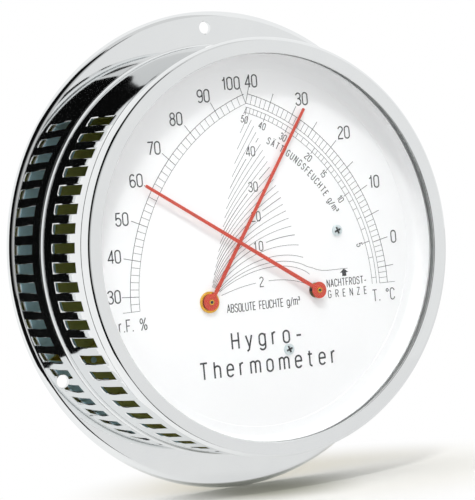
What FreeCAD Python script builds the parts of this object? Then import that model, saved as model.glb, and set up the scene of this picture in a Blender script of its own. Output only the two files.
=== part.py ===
import FreeCAD, Part
import math
import os

# Wall-hung thermo-hygrometer: two long hands cross over one white dial, in a slotted chromed case.
# X is to the right for someone facing the dial, Z is up and the dial faces -Y.
# The origin is the centre of the flange's back face. "out" is a distance in front of the wall.
# Every length is in millimetres.

# Case
flange_radius = 80.0
flange_width = 11.8         # how far the flange reaches out beyond the case
flange_thickness = 1.4
flange_rim_round = 0.5
case_sheet = 1.0
solder_round = 1.5          # hollow fillet of solder where the case stands on its flange
solder_edge = 0.1
wall_screw_count = 3
wall_screw_inset = 5.5      # from the flange's rim to the circle of the screws
wall_screw_hole_radius = 2.1
top_angle = 90.0
bottom_angle = 270.0

# Ventilation slots, symmetric about the lowest point of the case
slot_pitch_angle = 5.28
slot_width_angle = 2.6
slots_each_side = 25
slot_low_rise = 7.4         # from the flange's front face to the slots
slot_high_drop = 5.0        # from the case's shoulder back to the slots

# Bezel and glass
bezel_overhang = 0.35       # how far the bezel's side stands proud of the case
bezel_sheet = 0.9
bezel_corner_round = 0.8
bezel_face_width = 5.35
bezel_face_drop = 1.55      # the face falls by this much towards the glass
bezel_rise = 2.25           # from the lip's back face to the bezel's front edge
bezel_skirt = 1.0           # how far the bezel's side reaches behind the glass
bezel_lip_width = 1.0
bezel_neck_gap = 0.15
neck_drop = 0.6             # from the glass's front face back to the end of the case's neck
glass_thickness = 1.9
gasket_thickness = 0.3
seam_gap = 0.1              # thin joint lines that show outside

# Dial and the concave ring in front of it
dial_thickness = 0.8
dial_edge_gap = 0.3
ring_edge = 0.25
ring_curve_radius = 5.0
ring_rim = 0.95             # straight wall above the curve
ring_land = 2.6             # flat top, under the glass
lug_thickness = 1.0
side_lug_width = 2.4
top_lug_width = 8.0
dial_lug_reach = 8.0
dial_lug_height = 9.0
side_lug_slots = 11         # pitches from the lowest bar, so that each side lug hides behind a bar

# Pivots of the two hands
pivot_spacing = 41.04
pivot_height = -15.97

# Hands
hand_tip_gap = 3.36         # from the foot of the ring to the tip of a level hand
hand_sheet = 0.3
hand_root_width = 1.4
hand_tip_width = 1.1
hand_hub_radius = 2.75
hand_rest_gap = 0.1         # from the thermometer's bush to the collet in front of it
hand_pass_gap = 0.6         # between the two hands where they cross
temperature_hand_angle = 55.4    # anticlockwise from +X, seen from the front
humidity_hand_angle = 147.48
collet_radius = 0.9
collet_flange_radius = 1.5
collet_flange_thickness = 0.25
collet_above_hand = 0.3
arbor_tip_above_collet = 0.15

# Fits
running_gap = 0.05          # radial clearance of a pivot in its bearing
seat_gap = 0.02             # radial clearance of a piece fixed on its shaft
end_gap = 0.3               # end play and the gap between pieces that pass each other
hole_overrun = 1.0          # how far a cutter stands out of what it cuts

# Arbors
pivot_radius = 0.5
arbor_radius = 0.8

# Small screws
screw_head_radius = 1.85
screw_head_height = 0.8
screw_shank_radius = 1.0
screw_length = 4.0
cross_slot_width = 0.45
cross_slot_length = 2.2
cross_slot_depth = 0.45
cross_slot_turn = 20.0      # the cross of every screw stands at this angle

# Back cover
cover_low_out = 1.7
cover_thickness = 1.2
cover_lug_thickness = 1.5
cover_lug_reach = 9.0
cover_lug_width = 8.0
cover_lug_angles = [90.0, 210.0, 330.0]
cover_hole_margin = 1.6     # the adjuster's access hole is this much wider than its head, all round

# Hair movement, laid along a line through the humidity pivot
hygro_line_angle = 58.8
hygro_screw_distance = 21.9
hygro_plate_thickness = 1.0
hygro_cover_gap = 4.1       # from the back cover to the bridge
hygro_standoff_length = 4.7
hygro_frame_width = 16.0
hygro_frame_upper_gap = 3.84     # from the frame's upper end to the case
hygro_frame_lower_gap = 5.55
standoff_radius = 2.3
hygro_bridge_end = 3.5      # how far the bridge reaches past its pillars
hygro_bridge_front_width = 3.5
hygro_pillar_distance = 14.5
pillar_edge = 1.2           # metal left beside a pillar
pillar_radius = 1.6
tenon_radius = 0.9
humidity_hole_radius = 2.5

# Crank, its counterweight, and the hair that it draws sideways
crank_radius = 5.5
crank_angle = 135.0         # from the hair movement's line, at rest
crank_frame_gap = 2.6
crank_thickness = 0.8
crank_hub_radius = 2.0
crank_arm_width = 1.4
counterweight_radius = 2.4
counterweight_distance = 4.6
hook_pin_radius = 0.45
hair_crank_gap = 1.1        # from the hair's axis to the crank
hair_spring_gap = 2.1       # from the hairspring to the hair's axis
hair_radius = 0.35
eye_radius = 1.2
eye_thickness = 1.0
eye_sleeve_radius = 0.75
eye_sleeve_length = 3.5
anchor_past_end = 2.0
anchor_offset = 3.0
anchor_radius = 1.5

# Adjuster
adjuster_arm_length = 4.0
adjuster_cover_gap = 1.3    # from the back cover to the adjuster's head
adjuster_head_height = 2.0
adjuster_head_radius = 2.6
adjuster_stem_radius = 1.8
adjuster_neck_radius = 1.25
adjuster_slot_width = 0.7
adjuster_slot_depth = 0.9
adjuster_arm_width = 2.4
adjuster_hub_radius = 2.8
adjuster_arm_thickness = 0.8
adjuster_clip_radius = 2.4
adjuster_clip_thickness = 0.5
adjuster_washer_thickness = 0.4

# Light spring of the humidity arbor
hairspring_bridge_gap = 1.2
hairspring_height = 1.2
hairspring_strip = 0.2
hairspring_pitch = 1.1
hairspring_half_turns = 9
spring_stud_radius = 0.7
spring_collet_radius = 1.3
spring_collet_height = 1.6

# Thermometer
bush_flange_radius = 3.5
bush_flange_height = 0.85
bush_radius = 2.0
nut_flats = 7.0
nut_thickness = 1.8
thermometer_cover_gap = 3.6      # from the back cover to the thermometer's bridge
thermometer_plate_thickness = 1.0
thermometer_plate_width = 11.0
thermometer_plate_end = 3.5      # how far the plates reach past their pillars
coil_pillar_gap = 3.85
coil_bridge_gap = 3.5
coil_width = 4.0
coil_strip = 0.45
coil_pitch = 2.1
coil_half_turns = 9
coil_collet_radius = 1.9
coil_stud_radius = 1.2
lock_nut_thickness = 1.2
regulator_thickness = 0.8
regulator_width = 3.0
regulator_ring_radius = 4.2

# Places across the front that follow from the sizes above
case_radius = flange_radius - flange_width
case_inner_radius = case_radius - case_sheet
wall_screw_circle_radius = flange_radius - wall_screw_inset
bezel_radius = case_radius + bezel_overhang
bezel_inner_radius = bezel_radius - bezel_face_width
neck_radius = bezel_radius - bezel_sheet - bezel_neck_gap
neck_inner_radius = neck_radius - case_sheet
dial_radius = neck_inner_radius - dial_edge_gap
ring_top_radius = dial_radius - ring_land
ring_foot_radius = ring_top_radius - ring_curve_radius
humidity_x = pivot_spacing / 2
temperature_x = -pivot_spacing / 2
side_bar_angle = (side_lug_slots + 0.5) * slot_pitch_angle
cover_hole_radius = adjuster_head_radius + cover_hole_margin
hygro_pillar_offset = hygro_frame_width / 2 - pillar_radius - pillar_edge
hygro_bridge_rear_width = hygro_pillar_offset + pillar_radius + pillar_edge
coil_outer_radius = coil_collet_radius + end_gap + coil_pitch / 2 * (coil_half_turns - 1) + coil_strip
thermometer_pillar_distance = coil_outer_radius + coil_pillar_gap + pillar_radius

# Levels, from the back cover to the front
cover_high_out = cover_low_out + cover_thickness
adjuster_head_low_out = cover_high_out + adjuster_cover_gap
hygro_bridge_low_out = cover_high_out + hygro_cover_gap
hygro_bridge_high_out = hygro_bridge_low_out + hygro_plate_thickness
hairspring_low_out = hygro_bridge_high_out + hairspring_bridge_gap
hair_out = hairspring_low_out + hairspring_height + hair_spring_gap
crank_low_out = hair_out + hair_crank_gap
hygro_frame_low_out = crank_low_out + crank_thickness + crank_frame_gap
hygro_frame_high_out = hygro_frame_low_out + hygro_plate_thickness
dial_back_out = hygro_frame_high_out + hygro_standoff_length
dial_front_out = dial_back_out + dial_thickness
temperature_hand_low_out = dial_front_out + bush_flange_height + hand_rest_gap + collet_flange_thickness
humidity_hand_low_out = temperature_hand_low_out + hand_sheet + hand_pass_gap
ring_top_out = dial_front_out + ring_edge + ring_curve_radius + ring_rim
glass_front_out = ring_top_out + glass_thickness
lip_low_out = glass_front_out + gasket_thickness
bezel_low_out = ring_top_out - bezel_skirt
bezel_high_out = lip_low_out + bezel_rise
shoulder_out = bezel_low_out - seam_gap
neck_top_out = glass_front_out - neck_drop
slot_low_out = flange_thickness + slot_low_rise
slot_high_out = shoulder_out - slot_high_drop
thermometer_bridge_low_out = cover_high_out + thermometer_cover_gap
thermometer_bridge_high_out = thermometer_bridge_low_out + thermometer_plate_thickness
coil_low_out = thermometer_bridge_high_out + coil_bridge_gap
thermometer_plate_low_out = dial_back_out - thermometer_plate_thickness
nut_low_out = thermometer_plate_low_out - nut_thickness
regulator_low_out = nut_low_out - regulator_thickness
bush_low_out = regulator_low_out - lock_nut_thickness

TO_FRONT = FreeCAD.Vector(0, -1, 0)
DEPTH_AXIS = FreeCAD.Vector(0, 1, 0)
CENTRE = FreeCAD.Vector(0, 0, 0)


def reach_to_circle(angle, radius):
    """Distance from the humidity pivot, at an angle, to a circle about the case's axis."""
    turn = math.radians(angle)
    along = humidity_x * math.cos(turn) + pivot_height * math.sin(turn)
    return math.sqrt(along ** 2 + radius ** 2 - humidity_x ** 2 - pivot_height ** 2) - along


frame_end_circle = case_inner_radius - hygro_frame_width / 2
upper_end_circle = frame_end_circle - hygro_frame_upper_gap
lower_end_circle = frame_end_circle - hygro_frame_lower_gap
hygro_frame_upper_length = reach_to_circle(hygro_line_angle, upper_end_circle)
hygro_frame_lower_length = reach_to_circle(hygro_line_angle + 180, lower_end_circle)
hand_length = reach_to_circle(180, ring_foot_radius - hand_tip_gap)


def point(x, z, out):
    return FreeCAD.Vector(x, -out, z)


def polar(radius, angle, centre=(0, 0)):
    """Across and up coordinates of a point at an angle from +X, seen from the front."""
    turn = math.radians(angle)
    return centre[0] + radius * math.cos(turn), centre[1] + radius * math.sin(turn)


def rod(place, radius, low_out, high_out):
    return Part.makeCylinder(radius, high_out - low_out, point(*place, low_out), TO_FRONT)


def drill(solid, place, radius, low_out, high_out):
    """Cut a round hole that runs past both levels."""
    return solid.cut(rod(place, radius, low_out - hole_overrun, high_out + hole_overrun))


def tube(place, radius, bore, low_out, high_out):
    return drill(rod(place, radius, low_out, high_out), place, bore, low_out, high_out)


def outline(corners, to_point):
    """Closed wire through corners (a, b, rounding), each corner rounded by an arc of that radius."""
    stretches = []
    for index, (a, b, rounding) in enumerate(corners):
        here = FreeCAD.Vector(a, b, 0)
        before = FreeCAD.Vector(*corners[index - 1][:2], 0)
        after = FreeCAD.Vector(*corners[(index + 1) % len(corners)][:2], 0)
        if rounding == 0:
            stretches.append((here, here, here))
            continue
        to_before = (before - here).normalize()
        to_after = (after - here).normalize()
        half = to_before.getAngle(to_after) / 2
        reach = rounding / math.tan(half)
        middle = (to_before + to_after).normalize()
        depth = rounding / math.sin(half) - rounding
        stretches.append((here + to_before * reach, here + middle * depth, here + to_after * reach))
    edges = []
    for index, (start, mid, end) in enumerate(stretches):
        following = stretches[(index + 1) % len(stretches)][0]
        if (end - start).Length > 0:
            edges.append(Part.Arc(to_point(start), to_point(mid), to_point(end)).toShape())
        if (following - end).Length > seat_gap * seat_gap:
            edges.append(Part.LineSegment(to_point(end), to_point(following)).toShape())
    return Part.Wire(edges)


def turned(corners):
    """Solid of revolution about the case's axis, from corners (radius, out, rounding)."""
    wire = outline(corners, lambda p: point(p.x, 0, p.y))
    return Part.Face(wire).revolve(CENTRE, DEPTH_AXIS, 360)


def plate(corners, low_out, thickness, centre=(0, 0), angle=0):
    """Flat plate from corners (along, aside, rounding), turned by angle about centre."""
    turn = math.radians(angle)

    def to_point(p):
        x = centre[0] + p.x * math.cos(turn) - p.y * math.sin(turn)
        z = centre[1] + p.x * math.sin(turn) + p.y * math.cos(turn)
        return point(x, z, low_out)

    return Part.Face(outline(corners, to_point)).extrude(TO_FRONT * thickness)


def bar(start, end, width, low_out, thickness):
    """Straight flat bar with round ends between two places."""
    length = math.dist(start, end)
    angle = math.degrees(math.atan2(end[1] - start[1], end[0] - start[0]))
    half = width / 2
    corners = [(0, -half, 0), (length, -half, 0), (length, half, 0), (0, half, 0)]
    body = plate(corners, low_out, thickness, start, angle)
    for place in (start, end):
        body = body.fuse(rod(place, half, low_out, low_out + thickness))
    return body.removeSplitter()


def hygro_place(along, aside):
    """Place in the hair movement, measured from the humidity pivot along and beside its line."""
    turn = math.radians(hygro_line_angle)
    x = humidity_x + along * math.cos(turn) - aside * math.sin(turn)
    z = pivot_height + along * math.sin(turn) + aside * math.cos(turn)
    return x, z


def spiral(centre, inner_radius, pitch, strip, half_turns, start_angle, low_out, height):
    """Flat spiral strip of half circles, whose centres alternate between two points."""
    step = pitch / 2
    turn = math.radians(start_angle)
    across = FreeCAD.Vector(math.cos(turn), math.sin(turn), 0)
    upward = FreeCAD.Vector(-math.sin(turn), math.cos(turn), 0)
    origin = FreeCAD.Vector(centre[0], centre[1], 0)

    def to_point(p):
        flat = origin + across * p.x + upward * p.y
        return point(flat.x, flat.y, low_out)

    def edge_line(offset):
        arcs = []
        for index in range(half_turns):
            radius = inner_radius + offset + step * index
            side = 1 if index % 2 == 0 else -1
            middle = 0 if index % 2 == 0 else step
            start = FreeCAD.Vector(middle + side * radius, 0, 0)
            crest = FreeCAD.Vector(middle, side * radius, 0)
            end = FreeCAD.Vector(middle - side * radius, 0, 0)
            arcs.append((start, crest, end))
        return arcs

    inner, outer = edge_line(0), edge_line(strip)
    edges = [Part.Arc(*map(to_point, arc)).toShape() for arc in inner]
    edges.append(Part.LineSegment(to_point(inner[-1][2]), to_point(outer[-1][2])).toShape())
    edges += [Part.Arc(*map(to_point, arc[::-1])).toShape() for arc in outer[::-1]]
    edges.append(Part.LineSegment(to_point(outer[0][0]), to_point(inner[0][0])).toShape())
    solid = Part.Face(Part.Wire(edges)).extrude(TO_FRONT * height)
    tail = inner[-1][2].x + math.copysign(strip / 2, inner[-1][2].x)
    return solid, (origin.x + across.x * tail, origin.y + across.y * tail)


def screw(place, head_low_out, length, head_to_front=True):
    """Cross-head screw whose head seats at head_low_out and whose shank runs away from the head."""
    side = 1 if head_to_front else -1
    top = head_low_out + side * screw_head_height
    tip = head_low_out - side * length
    body = rod(place, screw_head_radius, min(head_low_out, top), max(head_low_out, top))
    head_edges = [e for e in body.Edges if abs(e.CenterOfMass.y + top) < seat_gap and e.isClosed()]
    body = body.makeFillet(screw_head_height / 2, head_edges)
    body = body.fuse(rod(place, screw_shank_radius, min(head_low_out, tip), max(head_low_out, tip)))
    floor = top - side * cross_slot_depth
    for angle in (0, 90):
        half_length, half_width = cross_slot_length / 2, cross_slot_width / 2
        corners = [(-half_length, -half_width, 0), (half_length, -half_width, 0),
                   (half_length, half_width, 0), (-half_length, half_width, 0)]
        low = floor if head_to_front else floor - cross_slot_depth - hole_overrun
        cutter = plate(corners, low, cross_slot_depth + hole_overrun, place, angle + cross_slot_turn)
        body = body.cut(cutter)
    return body.removeSplitter()


def make_wall_flange():
    bore_radius = case_radius + seat_gap
    fillet_radius = bore_radius + solder_edge
    fillet_top_out = flange_thickness + solder_round + solder_edge
    corners = [
        (case_inner_radius, 0, 0),
        (flange_radius, 0, flange_rim_round),
        (flange_radius, flange_thickness, flange_rim_round),
        (fillet_radius, flange_thickness, solder_round),
        (fillet_radius, fillet_top_out, 0),
        (bore_radius, fillet_top_out, 0),
        (bore_radius, flange_thickness, 0),
        (case_inner_radius, flange_thickness, 0),
    ]
    flange = turned(corners)
    for index in range(wall_screw_count):
        angle = top_angle + index * 360 / wall_screw_count
        place = polar(wall_screw_circle_radius, angle)
        flange = drill(flange, place, wall_screw_hole_radius, 0, flange_thickness)
    return flange


def make_case_shell():
    corners = [
        (case_inner_radius, flange_thickness, 0),
        (case_radius, flange_thickness, 0),
        (case_radius, shoulder_out, 0),
        (neck_radius, shoulder_out, 0),
        (neck_radius, neck_top_out, 0),
        (neck_inner_radius, neck_top_out, 0),
        (neck_inner_radius, shoulder_out - case_sheet, 0),
        (case_inner_radius, shoulder_out - case_sheet, 0),
    ]
    shell = turned(corners)
    slots = [slot_cutter(number) for number in range(-slots_each_side, slots_each_side + 1)]
    return shell.cut(Part.makeCompound(slots))


def slot_cutter(number):
    """Square-ended wedge that cuts one slot out of the case wall."""
    middle = bottom_angle + number * slot_pitch_angle
    near, far = case_inner_radius - hole_overrun, case_radius + hole_overrun
    half_width = case_radius * math.radians(slot_width_angle) / 2
    corners = [(near, -half_width, 0), (far, -half_width, 0), (far, half_width, 0), (near, half_width, 0)]
    return plate(corners, slot_low_out, slot_high_out - slot_low_out, (0, 0), middle)


def make_bezel_ring():
    inner_radius = bezel_radius - bezel_sheet
    face_inner_out = bezel_high_out - bezel_face_drop
    slope = bezel_face_drop / bezel_face_width
    lip_radius = bezel_inner_radius + bezel_lip_width
    under_high = bezel_high_out - bezel_sheet - slope * bezel_sheet
    under_low = face_inner_out + slope * bezel_lip_width - bezel_sheet
    corners = [
        (bezel_radius, bezel_low_out, 0),
        (bezel_radius, bezel_high_out, bezel_corner_round),
        (bezel_inner_radius, face_inner_out, bezel_corner_round / 4),
        (bezel_inner_radius, lip_low_out, 0),
        (lip_radius, lip_low_out, 0),
        (lip_radius, max(under_low, lip_low_out + seam_gap), 0),
        (inner_radius, under_high, 0),
        (inner_radius, bezel_low_out, 0),
    ]
    return turned(corners)


def make_glass():
    return rod((0, 0), dial_radius, ring_top_out, glass_front_out)


def make_glass_gasket():
    return tube((0, 0), dial_radius, bezel_inner_radius + seam_gap, glass_front_out, lip_low_out)


def make_dial_ring():
    edge_out = dial_front_out + ring_edge
    corners = [
        (ring_foot_radius, dial_front_out, 0),
        (ring_foot_radius, edge_out, 0),
        (ring_top_radius, edge_out, ring_curve_radius),
        (ring_top_radius, ring_top_out, 0),
        (dial_radius, ring_top_out, 0),
        (dial_radius, dial_front_out, 0),
    ]
    return turned(corners)


def hygro_screw_places():
    return [hygro_place(side * hygro_screw_distance, 0) for side in (-1, 1)]


def make_dial_plate():
    dial = rod((0, 0), dial_radius, dial_back_out, dial_front_out)
    dial = drill(dial, (humidity_x, pivot_height), humidity_hole_radius, dial_back_out, dial_front_out)
    dial = drill(dial, (temperature_x, pivot_height), bush_radius + seat_gap, dial_back_out, dial_front_out)
    for place in hygro_screw_places():
        dial = drill(dial, place, screw_shank_radius + running_gap, dial_back_out, dial_front_out)
    return dial


def angle_lug(angle, width, reach, low_out, high_out):
    """Bent lug: a shelf under high_out and a foot that lies along the case wall."""
    wall = case_inner_radius - seat_gap
    shelf = (wall - reach, wall, high_out - lug_thickness, high_out)
    foot = (wall - lug_thickness, wall, low_out, high_out)
    half = width / 2
    pieces = []
    for near, far, low, high in (shelf, foot):
        far = far + hole_overrun
        corners = [(near, -half, 0), (far, -half, 0), (far, half, 0), (near, half, 0)]
        pieces.append(plate(corners, low, high - low, (0, 0), angle))
    within = rod((0, 0), wall, low_out, high_out)
    return pieces[0].fuse(pieces[1]).common(within).removeSplitter()


def make_dial_lugs():
    low_out = dial_back_out - dial_lug_height
    side_angles = (bottom_angle - side_bar_angle, bottom_angle + side_bar_angle)
    places = [(top_angle, top_lug_width)] + [(angle, side_lug_width) for angle in side_angles]
    lugs = [angle_lug(angle, width, dial_lug_reach, low_out, dial_back_out) for angle, width in places]
    return Part.makeCompound(lugs)


def cover_screw_places():
    radius = case_inner_radius - cover_lug_reach / 2
    return [polar(radius, angle) for angle in cover_lug_angles]


def make_cover_lugs():
    lugs = []
    wall = case_inner_radius - seat_gap
    half = cover_lug_width / 2
    within = rod((0, 0), wall, 0, dial_back_out)
    high_out = cover_high_out + cover_lug_thickness
    for angle, place in zip(cover_lug_angles, cover_screw_places()):
        near, far = wall - cover_lug_reach, wall + hole_overrun
        corners = [(near, -half, 0), (far, -half, 0), (far, half, 0), (near, half, 0)]
        lug = plate(corners, cover_high_out, cover_lug_thickness, (0, 0), angle).common(within)
        lugs.append(drill(lug, place, screw_shank_radius + seat_gap, cover_high_out, high_out))
    return Part.makeCompound(lugs)


def make_back_cover():
    cover = rod((0, 0), case_inner_radius - dial_edge_gap, cover_low_out, cover_high_out)
    for place in cover_screw_places():
        cover = drill(cover, place, screw_shank_radius + running_gap, cover_low_out, cover_high_out)
    return drill(cover, adjuster_place(), cover_hole_radius, cover_low_out, cover_high_out)


def make_cover_screws():
    length = cover_thickness + cover_lug_thickness + end_gap
    return Part.makeCompound([screw(place, cover_low_out, length, False) for place in cover_screw_places()])


def make_dial_screws():
    return Part.makeCompound([screw(place, dial_front_out, screw_length) for place in hygro_screw_places()])


def make_hygro_standoffs():
    bore = screw_shank_radius + seat_gap
    levels = (hygro_frame_high_out, dial_back_out)
    return Part.makeCompound([tube(place, standoff_radius, bore, *levels) for place in hygro_screw_places()])


def make_hygro_frame():
    start = hygro_place(-hygro_frame_lower_length, 0)
    end = hygro_place(hygro_frame_upper_length, 0)
    frame = bar(start, end, hygro_frame_width, hygro_frame_low_out, hygro_plate_thickness)
    holes = [(hygro_place(0, 0), pivot_radius + running_gap),
             (adjuster_place(), adjuster_neck_radius + running_gap),
             (anchor_place(), tenon_radius + seat_gap)]
    holes += [(place, tenon_radius + seat_gap) for place in hygro_pillar_places()]
    holes += [(place, screw_shank_radius + running_gap) for place in hygro_screw_places()]
    for place, radius in holes:
        frame = drill(frame, place, radius, hygro_frame_low_out, hygro_frame_high_out)
    return frame


def hygro_pillar_places():
    return [hygro_place(side * hygro_pillar_distance, -hygro_pillar_offset) for side in (-1, 1)]


def pillar(place, low_out, shoulder, tenon_top, bridge_thickness):
    """Round pillar with a screw hole at its back end and a riveted tenon at its front end."""
    body = rod(place, pillar_radius, low_out, shoulder).fuse(rod(place, tenon_radius, low_out, tenon_top))
    depth = screw_length - bridge_thickness + end_gap
    return body.cut(rod(place, screw_shank_radius + seat_gap, low_out - hole_overrun, low_out + depth))


def make_hygro_pillars():
    levels = (hygro_bridge_high_out, hygro_frame_low_out, hygro_frame_high_out)
    pillars = [pillar(place, *levels, hygro_plate_thickness) for place in hygro_pillar_places()]
    return Part.makeCompound(pillars)


def make_hygro_bridge():
    half = hygro_pillar_distance + hygro_bridge_end
    rounding = pillar_radius
    corners = [(-half, -hygro_bridge_rear_width, rounding), (half, -hygro_bridge_rear_width, rounding),
               (half, hygro_bridge_front_width, rounding), (-half, hygro_bridge_front_width, rounding)]
    centre = (humidity_x, pivot_height)
    bridge = plate(corners, hygro_bridge_low_out, hygro_plate_thickness, centre, hygro_line_angle)
    bridge = drill(bridge, centre, pivot_radius + running_gap, hygro_bridge_low_out, hygro_bridge_high_out)
    for place in hygro_pillar_places():
        hole = screw_shank_radius + running_gap
        bridge = drill(bridge, place, hole, hygro_bridge_low_out, hygro_bridge_high_out)
    stud_hole = spring_stud_radius + seat_gap
    return drill(bridge, spring_stud_place(), stud_hole, hygro_bridge_low_out, hygro_bridge_high_out)


def make_hygro_bridge_screws():
    screws = [screw(place, hygro_bridge_low_out, screw_length, False) for place in hygro_pillar_places()]
    return Part.makeCompound(screws)


def hand_arbor(place, bridge_low_out, bridge_high_out, front_shoulder, hand_low_out):
    """Arbor with a thin pivot at each end; its front end carries the hand."""
    tip_out = hand_low_out + hand_sheet + collet_above_hand + arbor_tip_above_collet
    thick = rod(place, arbor_radius, bridge_high_out + end_gap, front_shoulder - end_gap)
    thin = rod(place, pivot_radius, bridge_low_out - end_gap, tip_out)
    return thick.fuse(thin)


def make_humidity_arbor():
    place = (humidity_x, pivot_height)
    bridge = (hygro_bridge_low_out, hygro_bridge_high_out)
    return hand_arbor(place, *bridge, hygro_frame_low_out, humidity_hand_low_out)


def make_temperature_arbor():
    place = (temperature_x, pivot_height)
    bridge = (thermometer_bridge_low_out, thermometer_bridge_high_out)
    return hand_arbor(place, *bridge, bush_low_out, temperature_hand_low_out)


def hand_collet(place, hand_low_out):
    flange_low = hand_low_out - collet_flange_thickness
    top = hand_low_out + hand_sheet + collet_above_hand
    body = rod(place, collet_flange_radius, flange_low, hand_low_out)
    body = body.fuse(rod(place, collet_radius, flange_low, top))
    return drill(body, place, pivot_radius + seat_gap, flange_low, top)


def make_humidity_hand_collet():
    return hand_collet((humidity_x, pivot_height), humidity_hand_low_out)


def make_temperature_hand_collet():
    return hand_collet((temperature_x, pivot_height), temperature_hand_low_out)


def hand(place, angle, low_out):
    """Tapered needle with a round hub."""
    root, tip = hand_root_width / 2, hand_tip_width / 2
    corners = [(0, -root, 0), (hand_length, -tip, 0), (hand_length, tip, 0), (0, root, 0)]
    needle = plate(corners, low_out, hand_sheet, place, angle)
    body = needle.fuse(rod(place, hand_hub_radius, low_out, low_out + hand_sheet)).removeSplitter()
    return drill(body, place, collet_radius + seat_gap, low_out, low_out + hand_sheet)


def make_humidity_hand():
    return hand((humidity_x, pivot_height), humidity_hand_angle, humidity_hand_low_out)


def make_temperature_hand():
    return hand((temperature_x, pivot_height), temperature_hand_angle, temperature_hand_low_out)


def hook_place():
    return polar(crank_radius, hygro_line_angle + crank_angle, (humidity_x, pivot_height))


def make_humidity_crank():
    centre = (humidity_x, pivot_height)
    high_out = crank_low_out + crank_thickness
    weight_place = polar(counterweight_distance, hygro_line_angle + crank_angle + 180, centre)
    body = bar(centre, hook_place(), crank_arm_width, crank_low_out, crank_thickness)
    body = body.fuse(bar(centre, weight_place, crank_arm_width, crank_low_out, crank_thickness))
    body = body.fuse(rod(weight_place, counterweight_radius, crank_low_out, high_out))
    body = body.fuse(rod(centre, crank_hub_radius, crank_low_out, high_out))
    pin_low = hair_out - eye_thickness / 2 - end_gap
    body = body.fuse(rod(hook_place(), hook_pin_radius, pin_low, high_out)).removeSplitter()
    return drill(body, centre, arbor_radius + seat_gap, crank_low_out, high_out)


def anchor_place():
    return hygro_place(-hygro_frame_lower_length - anchor_past_end, -anchor_offset)


def adjuster_place():
    return hygro_place(hygro_frame_upper_length, 0)


def adjuster_pin_place():
    return hygro_place(hygro_frame_upper_length, -adjuster_arm_length)


def hair_eye(place, toward):
    """Small ring for a pin, with a sleeve that grips the hair."""
    low, high = hair_out - eye_thickness / 2, hair_out + eye_thickness / 2
    direction = FreeCAD.Vector(toward[0] - place[0], 0, toward[1] - place[1]).normalize()
    sleeve = Part.makeCylinder(eye_sleeve_radius, eye_sleeve_length, point(*place, hair_out), direction)
    sleeve = sleeve.common(rod(place, eye_radius + eye_sleeve_length, low, high))
    ring = rod(place, eye_radius, low, high).fuse(sleeve)
    eye = drill(ring, place, hook_pin_radius + running_gap, low, high)
    bore_start = point(*place, hair_out) + direction * (eye_radius + seat_gap)
    bore = Part.makeCylinder(hair_radius + seat_gap, eye_sleeve_length, bore_start, direction)
    return eye.cut(bore)


def make_lower_hair_eye():
    return hair_eye(anchor_place(), hook_place())


def make_upper_hair_eye():
    return hair_eye(adjuster_pin_place(), hook_place())


def make_hair_saddle():
    low, high = hair_out - eye_thickness / 2, hair_out + eye_thickness / 2
    return tube(hook_place(), eye_radius, hook_pin_radius + running_gap, low, high)


def make_hair_bundle():
    """Two straight stretches of hair, from the saddle into each eye's sleeve."""
    stretches = []
    for place in (anchor_place(), adjuster_pin_place()):
        start = point(*hook_place(), hair_out)
        end = point(*place, hair_out)
        direction = (end - start).normalize()
        length = (end - start).Length - 2 * eye_radius - 2 * end_gap
        start = start + direction * (eye_radius + end_gap)
        stretches.append(Part.makeCylinder(hair_radius, length, start, direction))
    return Part.makeCompound(stretches)


def make_hair_anchor_pin():
    low = hair_out - eye_thickness / 2 - end_gap
    shoulder = hair_out + eye_thickness / 2 + end_gap
    pin = rod(anchor_place(), hook_pin_radius, low, hygro_frame_low_out)
    pin = pin.fuse(rod(anchor_place(), anchor_radius, shoulder, hygro_frame_low_out))
    return pin.fuse(rod(anchor_place(), tenon_radius, shoulder, hygro_frame_high_out)).removeSplitter()


def make_adjuster_stud():
    place = adjuster_place()
    top = hygro_frame_high_out + adjuster_clip_thickness + end_gap
    head_top = adjuster_head_low_out + adjuster_head_height
    stud = rod(place, adjuster_head_radius, adjuster_head_low_out, head_top)
    shoulder = hygro_frame_low_out - adjuster_washer_thickness
    stud = stud.fuse(rod(place, adjuster_stem_radius, adjuster_head_low_out, shoulder))
    stud = stud.fuse(rod(place, adjuster_neck_radius, adjuster_head_low_out, top)).removeSplitter()
    reach = adjuster_head_radius + hole_overrun
    half = adjuster_slot_width / 2
    corners = [(-reach, -half, 0), (reach, -half, 0), (reach, half, 0), (-reach, half, 0)]
    low = adjuster_head_low_out - hole_overrun
    slot = plate(corners, low, adjuster_slot_depth + hole_overrun, place, hygro_line_angle)
    return stud.cut(slot)


def make_adjuster_arm():
    high_out = crank_low_out + adjuster_arm_thickness
    ends = (adjuster_place(), adjuster_pin_place())
    arm = bar(*ends, adjuster_arm_width, crank_low_out, adjuster_arm_thickness)
    arm = arm.fuse(rod(adjuster_place(), adjuster_hub_radius, crank_low_out, high_out))
    pin_low = hair_out - eye_thickness / 2 - end_gap
    arm = arm.fuse(rod(adjuster_pin_place(), hook_pin_radius, pin_low, high_out)).removeSplitter()
    return drill(arm, adjuster_place(), adjuster_stem_radius + seat_gap, crank_low_out, high_out)


def make_adjuster_washer():
    """Friction washer that lies against the back of the frame."""
    low = hygro_frame_low_out - adjuster_washer_thickness
    bore = adjuster_neck_radius + running_gap
    return tube(adjuster_place(), adjuster_clip_radius, bore, low, hygro_frame_low_out)


def make_adjuster_clip():
    low = hygro_frame_high_out
    high = low + adjuster_clip_thickness
    return tube(adjuster_place(), adjuster_clip_radius, adjuster_neck_radius + seat_gap, low, high)


def hairspring_and_tail():
    centre = (humidity_x, pivot_height)
    inner = spring_collet_radius + end_gap
    return spiral(centre, inner, hairspring_pitch, hairspring_strip, hairspring_half_turns,
                  hygro_line_angle + 90, hairspring_low_out, hairspring_height)


def spring_stud_place():
    return hairspring_and_tail()[1]


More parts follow.
